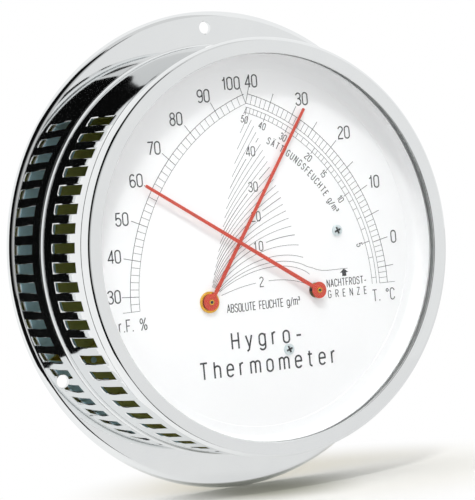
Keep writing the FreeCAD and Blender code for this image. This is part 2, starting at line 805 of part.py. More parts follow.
def split_stud(stud, place, width, slit_angle, slit_low, slit_high):
    """Stud with a slit across it that holds the end of a spring."""
    reach, half = screw_head_radius, width / 2
    corners = [(-reach, -half, 0), (reach, -half, 0), (reach, half, 0), (-reach, half, 0)]
    return stud.cut(plate(corners, slit_low, slit_high - slit_low, place, slit_angle))


def make_hairspring():
    return hairspring_and_tail()[0]


def make_hairspring_collet():
    low = hairspring_low_out - (spring_collet_height - hairspring_height) / 2
    place = (humidity_x, pivot_height)
    return tube(place, spring_collet_radius, arbor_radius + seat_gap, low, low + spring_collet_height)


def make_hairspring_stud():
    place = spring_stud_place()
    top = hairspring_low_out + hairspring_height
    stud = rod(place, spring_stud_radius, hygro_bridge_low_out, top)
    slit = hairspring_strip + 2 * running_gap
    slit_low = hairspring_low_out - running_gap
    return split_stud(stud, place, slit, hygro_line_angle, slit_low, top + hole_overrun)


def make_thermometer_bush():
    place = (temperature_x, pivot_height)
    flange_top = dial_front_out + bush_flange_height
    flange = rod(place, bush_flange_radius, dial_front_out, flange_top)
    rim = [e for e in flange.Edges if abs(e.CenterOfMass.y + flange_top) < seat_gap and e.isClosed()]
    flange = flange.makeFillet(bush_flange_height / 3, rim)
    bush = flange.fuse(rod(place, bush_radius, bush_low_out, flange_top)).removeSplitter()
    return drill(bush, place, pivot_radius + running_gap, bush_low_out, flange_top)


def bush_nut(low_out, thickness):
    place = (temperature_x, pivot_height)
    corner_radius = nut_flats / math.sqrt(3)
    corners = [(*polar(corner_radius, 60 * n), 0) for n in range(6)]
    nut = plate(corners, low_out, thickness, place)
    return drill(nut, place, bush_radius + seat_gap, low_out, low_out + thickness)


def make_thermometer_nut():
    return bush_nut(nut_low_out, nut_thickness)


def make_regulator_lock_nut():
    return bush_nut(bush_low_out, lock_nut_thickness)


def thermometer_pillar_places():
    return [(temperature_x, pivot_height + side * thermometer_pillar_distance) for side in (-1, 1)]


def thermometer_strip(low_out, centre_hole, pillar_hole):
    half_length = thermometer_pillar_distance + thermometer_plate_end - thermometer_plate_width / 2
    start = (temperature_x, pivot_height - half_length)
    end = (temperature_x, pivot_height + half_length)
    high_out = low_out + thermometer_plate_thickness
    strip = bar(start, end, thermometer_plate_width, low_out, thermometer_plate_thickness)
    strip = drill(strip, (temperature_x, pivot_height), centre_hole, low_out, high_out)
    for place in thermometer_pillar_places():
        strip = drill(strip, place, pillar_hole, low_out, high_out)
    return strip


def make_thermometer_plate():
    return thermometer_strip(thermometer_plate_low_out, bush_radius + seat_gap, tenon_radius + seat_gap)


def make_thermometer_bridge():
    pivot_hole = pivot_radius + running_gap
    return thermometer_strip(thermometer_bridge_low_out, pivot_hole, screw_shank_radius + running_gap)


def make_thermometer_pillars():
    levels = (thermometer_bridge_high_out, thermometer_plate_low_out, dial_back_out)
    pillars = [pillar(place, *levels, thermometer_plate_thickness) for place in thermometer_pillar_places()]
    return Part.makeCompound(pillars)


def make_thermometer_bridge_screws():
    places = thermometer_pillar_places()
    screws = [screw(place, thermometer_bridge_low_out, screw_length, False) for place in places]
    return Part.makeCompound(screws)


def coil_and_tail():
    centre = (temperature_x, pivot_height)
    inner = coil_collet_radius + end_gap
    return spiral(centre, inner, coil_pitch, coil_strip, coil_half_turns, 180, coil_low_out, coil_width)


def make_bimetal_coil():
    return coil_and_tail()[0]


def make_coil_collet():
    place = (temperature_x, pivot_height)
    return tube(place, coil_collet_radius, arbor_radius + seat_gap, coil_low_out, coil_low_out + coil_width)


def make_regulator_arm():
    """Friction arm round the bush, which carries the stud of the coil."""
    centre = (temperature_x, pivot_height)
    tail = coil_and_tail()[1]
    high_out = regulator_low_out + regulator_thickness
    arm = bar(centre, tail, regulator_width, regulator_low_out, regulator_thickness)
    arm = arm.fuse(rod(centre, regulator_ring_radius, regulator_low_out, high_out)).removeSplitter()
    arm = drill(arm, centre, bush_radius + seat_gap, regulator_low_out, high_out)
    return drill(arm, tail, tenon_radius + seat_gap, regulator_low_out, high_out)


def make_coil_stud():
    place = coil_and_tail()[1]
    stud = rod(place, coil_stud_radius, coil_low_out, regulator_low_out)
    stud = stud.fuse(rod(place, tenon_radius, coil_low_out, regulator_low_out + regulator_thickness))
    slit = coil_strip + 4 * running_gap
    slit_high = coil_low_out + coil_width + running_gap
    return split_stud(stud, place, slit, 90, coil_low_out - hole_overrun, slit_high)


MAKERS = {name[len("make_"):]: maker for name, maker in list(globals().items()) if name.startswith("make_")}


def main():
    os.makedirs("parts", exist_ok=True)
    for name, maker in MAKERS.items():
        shape = maker()
        shape.exportStep(f"parts/{name}.step")
        print(f"{name}: {len(shape.Solids)} solid(s), {shape.Volume:.1f} mm3, valid {shape.isValid()}")


main()
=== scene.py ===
import math

import bmesh
import bpy
import numpy as np
from mathutils import Matrix


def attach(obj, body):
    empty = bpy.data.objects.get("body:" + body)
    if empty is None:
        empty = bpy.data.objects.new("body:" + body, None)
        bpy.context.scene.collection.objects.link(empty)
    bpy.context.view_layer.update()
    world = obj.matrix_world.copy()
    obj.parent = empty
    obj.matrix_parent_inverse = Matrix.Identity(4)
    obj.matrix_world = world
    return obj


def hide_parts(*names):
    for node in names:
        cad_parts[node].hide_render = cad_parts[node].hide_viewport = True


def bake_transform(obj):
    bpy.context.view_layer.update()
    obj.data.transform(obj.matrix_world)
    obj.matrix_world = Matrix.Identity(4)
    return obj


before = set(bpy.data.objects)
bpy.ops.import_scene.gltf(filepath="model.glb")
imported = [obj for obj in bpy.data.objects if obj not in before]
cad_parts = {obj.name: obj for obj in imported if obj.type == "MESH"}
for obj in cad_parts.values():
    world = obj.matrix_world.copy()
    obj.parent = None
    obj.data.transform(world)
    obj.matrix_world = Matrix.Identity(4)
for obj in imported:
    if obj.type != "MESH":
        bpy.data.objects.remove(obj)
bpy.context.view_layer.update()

# A round wall instrument with a temperature hand and a humidity hand that cross over a white dial.
# Tables are in millimetres and degrees, "out" is the distance in front of the wall, and
# angles on the dial run anticlockwise from the right. Meshes are turned to metres by mm.
mm = 0.001
temperaturePivot = (-20.52, -15.97)
humidityPivot = (20.52, -15.97)
dialOut = 23.5
# how finely rings are divided, when two points count as one, and from which angle an edge is drawn sharp
ringColumns = 720
mergeDistance = 0.0008
sharpAngle = 33


# small tools

def polar(radius, degrees, out, centre=(0.0, 0.0)):
    # x = cx + radius cos(angle), y = -out, z = cz + radius sin(angle)
    radius, turn, out = np.broadcast_arrays(radius, np.radians(degrees), out)
    return np.stack([centre[0] + radius * np.cos(turn), -1.0 * out, centre[1] + radius * np.sin(turn)], -1)


def gridFaces(rows, columns, rowsClose=False, columnsClose=False):
    # the quad at (i, j) joins grid points (i, j), (i, j+1), (i+1, j+1), (i+1, j); a closing way joins last to first
    i = np.arange(rows if rowsClose else rows - 1)[:, None]
    j = np.arange(columns if columnsClose else columns - 1)[None, :]
    below, beside = (i + 1) % rows, (j + 1) % columns
    return np.stack([i * columns + j, i * columns + beside, below * columns + beside, below * columns + j], -1)


def joined(parts):
    # parts are (points in mm, faces, number of the finish); they become one array of each
    start, points, faces, marks = 0, [], [], []
    for partPoints, partFaces, mark in parts:
        points.append(np.reshape(partPoints, (-1, 3)))
        rows = np.reshape(partFaces, (-1, np.shape(partFaces)[-1])) + start
        faces += rows.tolist()
        marks.append(np.full(len(rows), mark, np.int32))
        start += len(points[-1])
    return np.concatenate(points), faces, np.concatenate(marks)


def newObject(name, points, faces, finishes):
    mesh = bpy.data.meshes.new(name)
    mesh.from_pydata((points * mm).tolist(), [], faces)
    for finish in finishes:
        mesh.materials.append(finish)
    thing = bpy.data.objects.new(name, mesh)
    bpy.context.scene.collection.objects.link(thing)
    return thing


def makePiece(name, parts, finishes, body, stands):
    # doubled points are merged and the faces turned outwards; a piece without a body is not attached to one
    points, faces, marks = joined(parts)
    piece = newObject(name, points, faces, finishes)
    mesh = piece.data
    mesh.polygons.foreach_set("material_index", marks)
    tidied = bmesh.new()
    tidied.from_mesh(mesh)
    bmesh.ops.remove_doubles(tidied, verts=tidied.verts, dist=mergeDistance * mm)
    bmesh.ops.recalc_face_normals(tidied, faces=tidied.faces)
    tidied.to_mesh(mesh)
    tidied.free()
    mesh.shade_smooth()
    mesh.set_sharp_from_angle(angle=math.radians(sharpAngle))
    if body:
        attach(piece, body)
    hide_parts(*stands)
    return piece


def roundedProfile(corners, closed=True, edgeRound=0.07, support=0.05, share=0.45):
    # each corner (radius, out[, reach to the last side[, reach to the next]]) becomes a quarter ellipse
    # corner + a u (1 - sin t) + b v (1 - cos t), with a support point on each straight side of it;
    # share is how much of a side such a corner may take, and a plain one takes 0.45 at most
    count, line = len(corners), []
    for k, corner in enumerate(corners):
        here = np.array(corner[:2], float)
        if not closed and k in (0, count - 1):
            line.append(here[None])
            continue
        toLast = np.array(corners[k - 1][:2], float) - here
        toNext = np.array(corners[(k + 1) % count][:2], float) - here
        lastLength, nextLength = np.linalg.norm(toLast), np.linalg.norm(toNext)
        toLast, toNext = toLast / lastLength, toNext / nextLength
        reaches = list(corner[2:]) or [edgeRound]
        limit = share if len(corner) > 2 else 0.45
        a, b = min(reaches[0], limit * lastLength), min(reaches[-1], limit * nextLength)
        t = np.linspace(0, math.pi / 2, 13 if max(a, b) > 0.4 else 5)[:, None]
        line.append((here + toLast * min(a + support, (limit + 0.04) * lastLength))[None])
        line.append(here + a * toLast * (1 - np.sin(t)) + b * toNext * (1 - np.cos(t)))
        line.append((here + toNext * min(b + support, (limit + 0.04) * nextLength))[None])
    return np.concatenate(line)


def revolve(profile, columns=ringColumns, centre=(0.0, 0.0), closed=True, leftOut=()):
    # every profile point (radius, out) is carried round the axis: polar(radius, angle, out)
    faces = gridFaces(len(profile), columns, rowsClose=closed, columnsClose=True)
    turns = np.arange(columns) * 360 / columns
    return polar(profile[:, :1], turns, profile[:, 1:], centre), np.delete(faces, leftOut, axis=0)


# finishes

def linearColour(hexText):
    # sRGB hex to linear: c / 12.92 below 0.04045, else ((c + 0.055) / 1.055) to the power 2.4
    values = np.array([int(hexText[k:k + 2], 16) / 255 for k in (1, 3, 5)])
    linear = np.where(values <= 0.04045, values / 12.92, ((values + 0.055) / 1.055) ** 2.4)
    return (*linear.tolist(), 1.0)


def addNode(tree, kind, settings=None, inputs=None):
    # settings are the node's own properties; each input gets a value or the socket that feeds it
    node = tree.nodes.new("ShaderNode" + kind)
    for name, value in (settings or {}).items():
        setattr(node, name, value)
    for key, value in (inputs or {}).items():
        if isinstance(value, bpy.types.NodeSocket):
            tree.links.new(value, node.inputs[key])
        else:
            node.inputs[key].default_value = value
    return node


def newFinish(name):
    finish = bpy.data.materials.new(name)
    finish.use_nodes = True
    tree = finish.node_tree
    tree.nodes.clear()
    place = addNode(tree, "TexCoord").outputs["Object"]
    return finish, tree, place


def closeFinish(tree, shader):
    addNode(tree, "OutputMaterial", inputs={"Surface": shader.outputs[0]})


def axesOf(tree, place):
    return addNode(tree, "SeparateXYZ", inputs={0: place}).outputs


def combined(tree, operation, *values):
    # numbers or sockets taken together, such as by a product, a maximum or a comparison
    return addNode(tree, "Math", {"operation": operation}, dict(enumerate(values))).outputs[0]


def noiseOver(tree, place, sizeMm, detail=2.0, stretch=(1, 1, 1)):
    # Object coordinates are metres, so a pattern of sizeMm repeats 1000 / sizeMm times in each
    scale = tuple(s * 1000 / sizeMm for s in stretch)
    moved = addNode(tree, "Mapping", inputs={"Vector": place, "Scale": scale}).outputs[0]
    noise = addNode(tree, "TexNoise", inputs={"Vector": moved, "Scale": 1.0, "Detail": detail})
    return noise.outputs["Fac"]


def between(tree, factor, low, high):
    # low + factor (high - low), for a number such as roughness
    return addNode(tree, "MapRange", inputs={"Value": factor, "To Min": low, "To Max": high}).outputs[0]


def ramp(tree, place, span, ends=(0.0, 1.0), curve="SMOOTHSTEP"):
    # runs from the first end to the second while the place crosses the span, given in mm
    return addNode(tree, "MapRange", {"interpolation_type": curve}, {
        "Value": place, "From Min": span[0] * mm, "From Max": span[1] * mm,
        "To Min": ends[0], "To Max": ends[1]}).outputs[0]


def mixedColour(tree, factor, first, second):
    # each colour is sRGB hex or a socket
    first, second = (linearColour(colour) if isinstance(colour, str) else colour for colour in (first, second))
    return addNode(tree, "Mix", {"data_type": "RGBA"}, {0: factor, 6: first, 7: second}).outputs[2]


def closeSurface(tree, colour, roughness, relief, strength, deepMm, others):
    # the principled shader over a bump that is deepMm deep where the relief is full
    bump = addNode(tree, "Bump", inputs={"Strength": strength, "Distance": deepMm * mm, "Height": relief})
    closeFinish(tree, addNode(tree, "BsdfPrincipled", inputs={
        "Base Color": colour, "Roughness": roughness, "Normal": bump.outputs[0], **others}))


def metalFinish(name, colour, shade, roughness, grainMm, grain=0.25, metallic=1.0, stretch=(1, 1, 1)):
    # a bare or plated metal: colour drifts towards its shade, and the fine grain opens the gloss a little
    finish, tree, place = newFinish(name)
    tone = mixedColour(tree, noiseOver(tree, place, grainMm * 14), colour, shade)
    fine = noiseOver(tree, place, grainMm, 4.0, stretch)
    gloss = between(tree, fine, roughness * 0.8, roughness * 1.25)
    closeSurface(tree, tone, gloss, fine, grain, 0.004, {"Metallic": metallic})
    return finish


def paintFinish(name, colour, shade, roughness, peelMm, peel=0.1):
    # lacquer: an even colour, a faint cloud in it, and the skin's very low orange peel
    finish, tree, place = newFinish(name)
    tone = mixedColour(tree, noiseOver(tree, place, peelMm * 20), colour, shade)
    skin = noiseOver(tree, place, peelMm)
    gloss = between(tree, skin, roughness * 0.92, roughness * 1.1)
    closeSurface(tree, tone, gloss, skin, peel, 0.003, {"IOR": 1.5})
    return finish


def glassFinish():
    # 2 mm float glass: clear, its mirror image kept faint as on the real one, and lamps shine through it
    finish, tree, _ = newFinish("mineralGlass")
    glass = addNode(tree, "BsdfGlass", inputs={"Color": (1, 1, 1, 1), "Roughness": 0.0, "IOR": 1.33})
    clear = addNode(tree, "BsdfTransparent")
    isShadow = addNode(tree, "LightPath").outputs["Is Shadow Ray"]
    closeFinish(tree, addNode(tree, "MixShader", inputs={
        0: isShadow, 1: glass.outputs[0], 2: clear.outputs[0]}))
    return finish


def dialFinish():
    # white stoved lacquer on the front; the back is bare anodised aluminium, pale blue-grey
    finish, tree, place = newFinish("dialLacquer")
    isBack = combined(tree, "GREATER_THAN", axesOf(tree, place)[1], -(dialOut - 0.3) * mm)
    skin, cloud = noiseOver(tree, place, 0.8), noiseOver(tree, place, 25)
    white, backTone = mixedColour(tree, cloud, "#fbfcfc", "#f8f9fa"), mixedColour(tree, cloud, "#c6efff", "#bce7f8")
    tone = mixedColour(tree, isBack, white, backTone)
    closeSurface(tree, tone, between(tree, skin, 0.42, 0.5), skin, 0.08, 0.003, {"IOR": 1.5})
    return finish


# polished chrome plate over brass: a hard, cool mirror
chrome = metalFinish("chromePlate", "#eceeee", "#e8eaeb", 0.035, 0.6, grain=0.01)
# raw drawn brass inside the case, dulled: a warm soft sheen
rawBrass = metalFinish("rawBrass", "#cdb95c", "#b8a44a", 0.42, 0.35, grain=0.3)
# the back cover's rolled brass sheet, brushed up and down
brushedBrass = metalFinish("brushedBrass", "#d8c473", "#d0ba66", 0.3, 0.35, grain=0.5, stretch=(1, 1, 0.03))
# the cut edge of the bezel's opening: dull grey metal, partly its own duller plating and partly painted shade, so the
# inner wall shows as the dark line of the shaded gap under the lip
dullLipShade = metalFinish("dullLipShade", "#8b8e8d", "#7b7e7d", 0.5, 0.2, grain=0.3, metallic=0.3)
# bright turned brass of the bush and collets: yellow, with fine tool marks
turnedBrass = metalFinish("turnedBrass", "#e8b437", "#dca52c", 0.24, 0.12, grain=0.2)
# zinc-plated steel of the screws: pale blue-grey, half glossy
platedSteel = metalFinish("platedSteel", "#dfe8ea", "#cfdbdd", 0.34, 0.2, grain=0.25)
# painted shade: the screw's cross is coloured near black, where little light comes into it
paintedCrossShade = metalFinish("paintedCrossShade", "#343b3e", "#2a3032", 0.6, 0.2, grain=0.3, metallic=0.2)
# blued spring steel of the arbors: near black with a cold sheen
bluedSteel = metalFinish("bluedSteel", "#3b3f47", "#30343c", 0.3, 0.15, grain=0.2, metallic=0.9)
# phosphor bronze spring, reddish
springBronze = metalFinish("springBronze", "#b5793f", "#a56b35", 0.28, 0.3)
# rolled bimetal strip: grey steel side, faint rolling marks along it
bimetal = metalFinish("bimetalStrip", "#a9a49a", "#948f86", 0.3, 0.3, stretch=(1, 0.2, 1))
# red stoved lacquer on the hands: strong orange-red, half glossy
redLacquer = paintFinish("redLacquer", "#c93309", "#c12f07", 0.4, 0.5)
# white lacquer of the reflector ring, a little glossier than the dial
whiteLacquer = paintFinish("whiteLacquer", "#fbfcfc", "#f8f9fa", 0.36, 0.8)
# screen-printed dark grey ink, matt
printInk = paintFinish("printInk", "#24272a", "#202326", 0.6, 0.3, peel=0.2)
# black rubber gasket, matt
gasketRubber = paintFinish("gasketRubber", "#2b2c2d", "#242526", 0.75, 0.4, peel=0.4)
# degreased human hair: light brown, soft sheen
hairBrown = paintFinish("hairBrown", "#9c7f58", "#8a6e4a", 0.5, 0.2)
glassClear = glassFinish()
dialWhite = dialFinish()
print("finishes ready")


# case, wall flange, bezel and reflector ring; corners are (radius, out[, rounding back[, rounding ahead]])

shell = {
    "outside": 68.2, "inside": 67.2, "low": 1.4, "shoulder": 28.6, "neckOutside": 67.5, "neckInside": 66.5,
    "neckTop": 31.0, "shelf": 27.6, "slots": 51, "slotPitch": 5.28, "slotHalfWidth": 1.547, "slotRound": 0.42,
    "slotLow": 8.8, "bend": 14.5, "slotHigh": 23.6, "drawnIn": 0.46, "shoulderIn": 0.1, "plainColumns": 180,
}
flange = {
    "corners": [
        (67.2, 0), (80, 0, 0.12), (80, 1.4, 1.12, 2.2), (68.32, 1.4, 0.8, 0.6),
        (68.32, 3.0), (68.22, 3.0), (68.22, 1.4), (67.2, 1.4)],
    "holeCircle": 74.5, "holeRadius": 2.1, "holesAt": (90, 210, 330), "chamfer": 0.12,
    "patchLow": 71.3, "patchHigh": 77.6, "patchRows": 8, "patchHalfColumns": 6, "share": 0.86,
}
bezel = {
    "corners": [
        (68.55, 28.7, 0.7, 1.4), (68.55, 33.9, 1.3), (63.2, 33.75, 0.4, 0.35), (63.2, 31.9),
        (64.2, 31.9), (64.2, 32.0), (67.65, 32.99), (67.65, 28.7)],
    # inside this radius the opening's inner wall takes the dull grey of painted shade
    "shadedLipBelow": 63.25, "share": 0.86,
}
reflector = [(58.6, 23.5), (58.6, 23.75), (63.6, 23.75, 5.0), (63.6, 29.62), (66.2, 29.62), (66.2, 23.5)]


def slottedDrum():
    # rows follow the wall's outline; columns stand at each slot's sides, asin(half width / r) from its middle;
    # past the bend the wall is drawn in a little, as a spun drum is where it meets its shoulder;
    # rows 1 to 3 are the slots' outer edge and rows 10 to 12 their inner edge
    s = shell
    out, inn, draw = s["outside"], s["inside"], s["drawnIn"]
    outline = np.array([
        (out, s["low"]), (out, s["slotLow"]), (out, s["bend"]), (out - draw, s["slotHigh"]),
        (out - draw - s["shoulderIn"], s["shoulder"]), (s["neckOutside"], s["shoulder"]),
        (s["neckOutside"], s["neckTop"]), (s["neckInside"], s["neckTop"]), (s["neckInside"], s["shelf"]),
        (inn - draw, s["shelf"]), (inn - draw, s["slotHigh"]), (inn, s["bend"]), (inn, s["slotLow"]), (inn, s["low"])])
    middles = 270 + s["slotPitch"] * (np.arange(s["slots"]) - (s["slots"] - 1) / 2)
    columns = []
    for radius in outline[:, 0]:
        edge = math.degrees(math.asin(s["slotHalfWidth"] / radius))
        slotPart = middles[:, None] + edge * np.array([-1, -0.5, 0, 0.5])[None]
        gap = s["slotPitch"] - 2 * edge
        barPart = middles[:, None] + edge + gap * np.array([0, 0.25, 0.5, 0.75])[None]
        run = np.concatenate([slotPart, barPart], 1).ravel()[:-3]
        plain = np.linspace(run[-1], run[0] + 360, s["plainColumns"] + 2)[1:-1]
        columns.append(np.concatenate([run, plain]))
    columns = np.array(columns)
    points = polar(outline[:, :1], columns, outline[:, 1:])
    faces = gridFaces(len(outline), columns.shape[1], rowsClose=True, columnsClose=True)
    firsts, wide = np.arange(s["slots"]) * 8, columns.shape[1]
    inSlot = np.zeros(wide, bool)
    inSlot[(firsts[:, None] + np.arange(4)).ravel()] = True
    keepFace, isInside = np.ones(faces.shape[:2], bool), np.zeros(faces.shape[:2], bool)
    keepFace[np.ix_([1, 2, 10, 11], inSlot)] = False
    isInside[8:13] = True
    sides = np.concatenate([firsts, firsts + 4])
    across = np.flatnonzero(inSlot)
    sideWalls = [np.stack([a * wide + sides, (a + 1) * wide + sides, b * wide + sides, (b + 1) * wide + sides], -1)
                 for a, b in ((1, 11), (2, 10))]
    sills = [np.stack([a * wide + across, a * wide + across + 1, b * wide + across + 1, b * wide + across], -1)
             for a, b in ((1, 12), (3, 10))]
    return [
        (points, faces[keepFace & ~isInside], 0),
        (points, faces[keepFace & isInside], 1),
        (points, np.concatenate([*sideWalls, *sills]), 0)]


def softenSlots(piece):
    # only the slots' outer edges, found by their radius and height, carry the weight that asks for rounding
    s = shell
    form = bmesh.new()
    form.from_mesh(piece.data)
    weight = form.edges.layers.float.new("bevel_weight_edge")
    for side in form.edges:
        ends = np.array([corner.co for corner in side.verts]) / mm
        radii, outs = np.hypot(ends[:, 0], ends[:, 2]), -ends[:, 1]
        isOuter = radii.min() > s["inside"] + 0.3 and outs.min() > s["slotLow"] - 0.1
        if isOuter and outs.max() < s["slotHigh"] + 0.1 and side.calc_face_angle(0) > 1:
            side[weight] = 1.0
    form.to_mesh(piece.data)
    form.free()
    edge = piece.modifiers.new("soft edges", "BEVEL")
    edge.width, edge.segments = s["slotRound"] * mm, 3
    edge.limit_method, edge.harden_normals = "WEIGHT", True


def holedFace(out, inner, outer):
    # a flat ring of grid rows; round each screw hole the grid's patch runs in to the hole's circle, point for point
    f, columns = flange, ringColumns
    low, high = 1, 1 + f["patchRows"]
    rows = np.concatenate([[inner], np.linspace(f["patchLow"], f["patchHigh"], f["patchRows"] + 1), [outer]])
    grid = polar(rows[:, None], np.arange(columns) * 360 / columns, out)
    keepFace = np.ones((len(rows) - 1, columns), bool)
    patches = []
    for middle in f["holesAt"]:
        left = int(middle * columns / 360) - f["patchHalfColumns"]
        right = left + 2 * f["patchHalfColumns"]
        keepFace[low:high, np.arange(left, right) % columns] = False
        loop = ([(low, c) for c in range(left, right)] + [(r, right) for r in range(low, high)]
                + [(high, c) for c in range(right, left, -1)] + [(r, left) for r in range(high, low, -1)])
        border = np.array([grid[r, c % columns] for r, c in loop])
        centre = polar(f["holeCircle"], middle, out)
        aim = border - centre
        patches.append((border, centre, aim / np.linalg.norm(aim, axis=1)[:, None]))
    faces = gridFaces(len(rows), columns, columnsClose=True)[keepFace]
    return (grid, faces, 0), patches


def wallFlange():
    # the ring's outline carried round, its two flat faces laid as holed grids, and the three hole walls
    outline = roundedProfile(flange["corners"], share=flange["share"])
    lengths = np.abs(np.diff(outline[:, 0], append=outline[0, 0]))
    backFace, frontFace = sorted(np.argsort(lengths)[-2:])
    back, backHoles = holedFace(outline[backFace, 1], outline[backFace, 0], outline[backFace + 1, 0])
    front, frontHoles = holedFace(outline[frontFace, 1], outline[frontFace + 1, 0], outline[frontFace, 0])
    parts = [(*revolve(outline, leftOut=(backFace, frontFace)), 0), back, front]
    tight, step = flange["holeRadius"], np.array([0, -flange["chamfer"], 0])
    wide = tight + flange["chamfer"]
    for (lowBorder, lowCentre, aim), (highBorder, highCentre, _) in zip(backHoles, frontHoles):
        # rings: border, chamfer's outer circle, hole at each end, and the same again on the other face
        rings = np.stack([
            lowBorder, lowCentre + wide * aim, lowCentre + tight * aim + step,
            highCentre + tight * aim - step, highCentre + wide * aim, highBorder])
        parts.append((rings, gridFaces(*rings.shape[:2], columnsClose=True), 0))
    return parts


def bezelRing():
    # the polished faces come first, then those of the opening's inner wall, which carry the dull grey of painted shade
    line = roundedProfile(bezel["corners"], share=bezel["share"])
    isShadedLip = np.maximum(line[:, 0], np.roll(line[:, 0], -1)) < bezel["shadedLipBelow"]
    return [(*revolve(line, leftOut=np.flatnonzero(rows)), k) for k, rows in enumerate((isShadedLip, ~isShadedLip))]


softenSlots(makePiece("slottedCase", slottedDrum(), [chrome, rawBrass], "case", ["case_shell"]))
makePiece("flangeRing", wallFlange(), [chrome], "case", ["wall_flange"])
makePiece("bezelRing", bezelRing(), [chrome, dullLipShade], "case", ["bezel_ring"])
reflectorTurned = [(*revolve(roundedProfile(reflector)), 0)]
makePiece("reflectorRing", reflectorTurned, [whiteLacquer], "case", ["dial_ring"])
print("case, flange, bezel and reflector ring made")


# the print on the dial; places are (x, z) on the dial, and the radii are measured from a hand's pivot

printing = {
    "height": 0.02, "fine": 0.145, "plain": 0.2,
    "tickOut": 72.98, "outerLine": 69.87, "innerLine": 66.74, "bandOut": 65.5, "bandIn": 63.7,
    "temperatureLine": (72.34, -0.1), "humidityLine": (107.66, 180.2), "bandLine": (72.2, -0.1),
    "curves": range(2, 52, 2), "labelledCurves": (2, 10, 20, 30, 40),
    "frostCurve": 4.85, "frostTail": [(33.8, -9.9), (26, -9.9), (23.6, -9.7), (21.7, -9.25), (19.9, -8.5)],
    "curveFrom": 4.9, "driest": 20, "curveHeight": 3.1, "curveStroke": 0.32, "curveWidth": 3.3,
    "numeralHeight": 4.0, "numeralStroke": 0.44, "smallHeight": 2.2, "smallStroke": 0.29,
    "labelled": (5, 10, 15, 20, 30, 40, 50), "labelRadius": 60.3, "captionRadius": 56.7,
    # the small solid arrow that marks the frost line
    "arrow": [(32.3, -9.9), (34.0, -11.2), (33.1, -11.2), (33.1, -12.4), (31.5, -12.4), (31.5, -11.2), (30.6, -11.2)],
}
numerals = {
    "90": (-16.1, 50.9), "80": (-27.0, 44.1), "70": (-36.0, 35.3), "60": (-43.5, 25.4), "50": (-49.9, 13.5),
    "40": (-53.8, 1.8), "30": (-55.1, -10.9), "100": (-5.3, 54.4), " 40": (2.4, 54.7), " 30": (21.4, 47.7),
    " 20": (36.9, 35.5), " 10": (47.4, 18.2), " 0": (53.3, -0.9)}
# words, height, foot's middle, stroke, width and how narrow the letters are
dialLines = [
    ("Hygro-", 5.3, (0, -32.1), 0.6, 26.6, 1.12),
    ("Thermometer", 5.3, (0, -40.8), 0.6, 52.0, 1.12),
    ("ABSOLUTE FEUCHTE g/m³", 2.6, (0, -20.1), 0.29, 28.0, 0.92),
    ("r.F. %", 3.8, (-49.2, -22.4), 0.36, 10.0, 1.0),
    ("T. °C", 3.8, (47.4, -22.0), 0.36, 8.7, 1.0),
    ("NACHTFROST-", 2.4, (33.0, -15.5), 0.29, 15.6, 0.95),
    ("GRENZE", 2.4, (33.0, -19.1), 0.29, 15.2, 1.0),
]


def temperatureAngle(celsius):
    # measured in the photograph: 40 degrees stand at 72.34, and each degree less is 1.5094 further down
    return 72.34 - 1.5094 * (40 - np.asarray(celsius, float))


def humidityAngle(percent):
    # 100 % stands at 108.14, and each per cent less is 0.9745 further down
    return 108.14 + 0.9745 * (100 - np.asarray(percent, float))


def saturation(celsius):
    # water that air can hold, g/m3: Magnus vapour pressure 611.2 exp(17.62 T / (243.12 + T)) over 461.5 (273.15 + T)
    return 611.2e3 * np.exp(17.62 * celsius / (243.12 + celsius)) / (461.5 * (273.15 + celsius))


def humidityCurve(content):
    # where the hands cross when the air holds content g/m3: relative humidity is content / saturation(T)
    celsius = np.linspace(-7.9, 40, 600)
    percent = 100 * content / saturation(celsius)
    warm = np.radians(temperatureAngle(celsius))
    damp = np.radians(humidityAngle(percent))
    run = (humidityPivot[0] - temperaturePivot[0]) * np.sin(damp) / np.sin(damp - warm)
    line = np.stack([temperaturePivot[0] + run * np.cos(warm), temperaturePivot[1] + run * np.sin(warm)], 1)
    return line[(percent <= 100) & (percent > printing["driest"]) & (run > printing["curveFrom"])]


def ribbon(line, width):
    # a strip of that width along the line: each point is moved half the width along its mitred normal
    steps = np.diff(line, axis=0)
    steps /= np.linalg.norm(steps, axis=1)[:, None]
    onward = np.concatenate([steps, steps[-1:]])
    along = np.concatenate([steps[:1], steps]) + onward
    along /= np.maximum(np.linalg.norm(along, axis=1), 1e-6)[:, None]
    mitre = width / 2 / np.clip(np.abs((along * onward).sum(1)), 0.6, 1)
    side = np.stack([-along[:, 1], along[:, 0]], 1) * mitre[:, None]
    edges = np.stack([line + side, line - side], 1)
    points = np.stack([edges[..., 0], np.full(edges.shape[:2], -dialOut - printing["height"]), edges[..., 1]], -1)
    return points, gridFaces(len(line), 2)


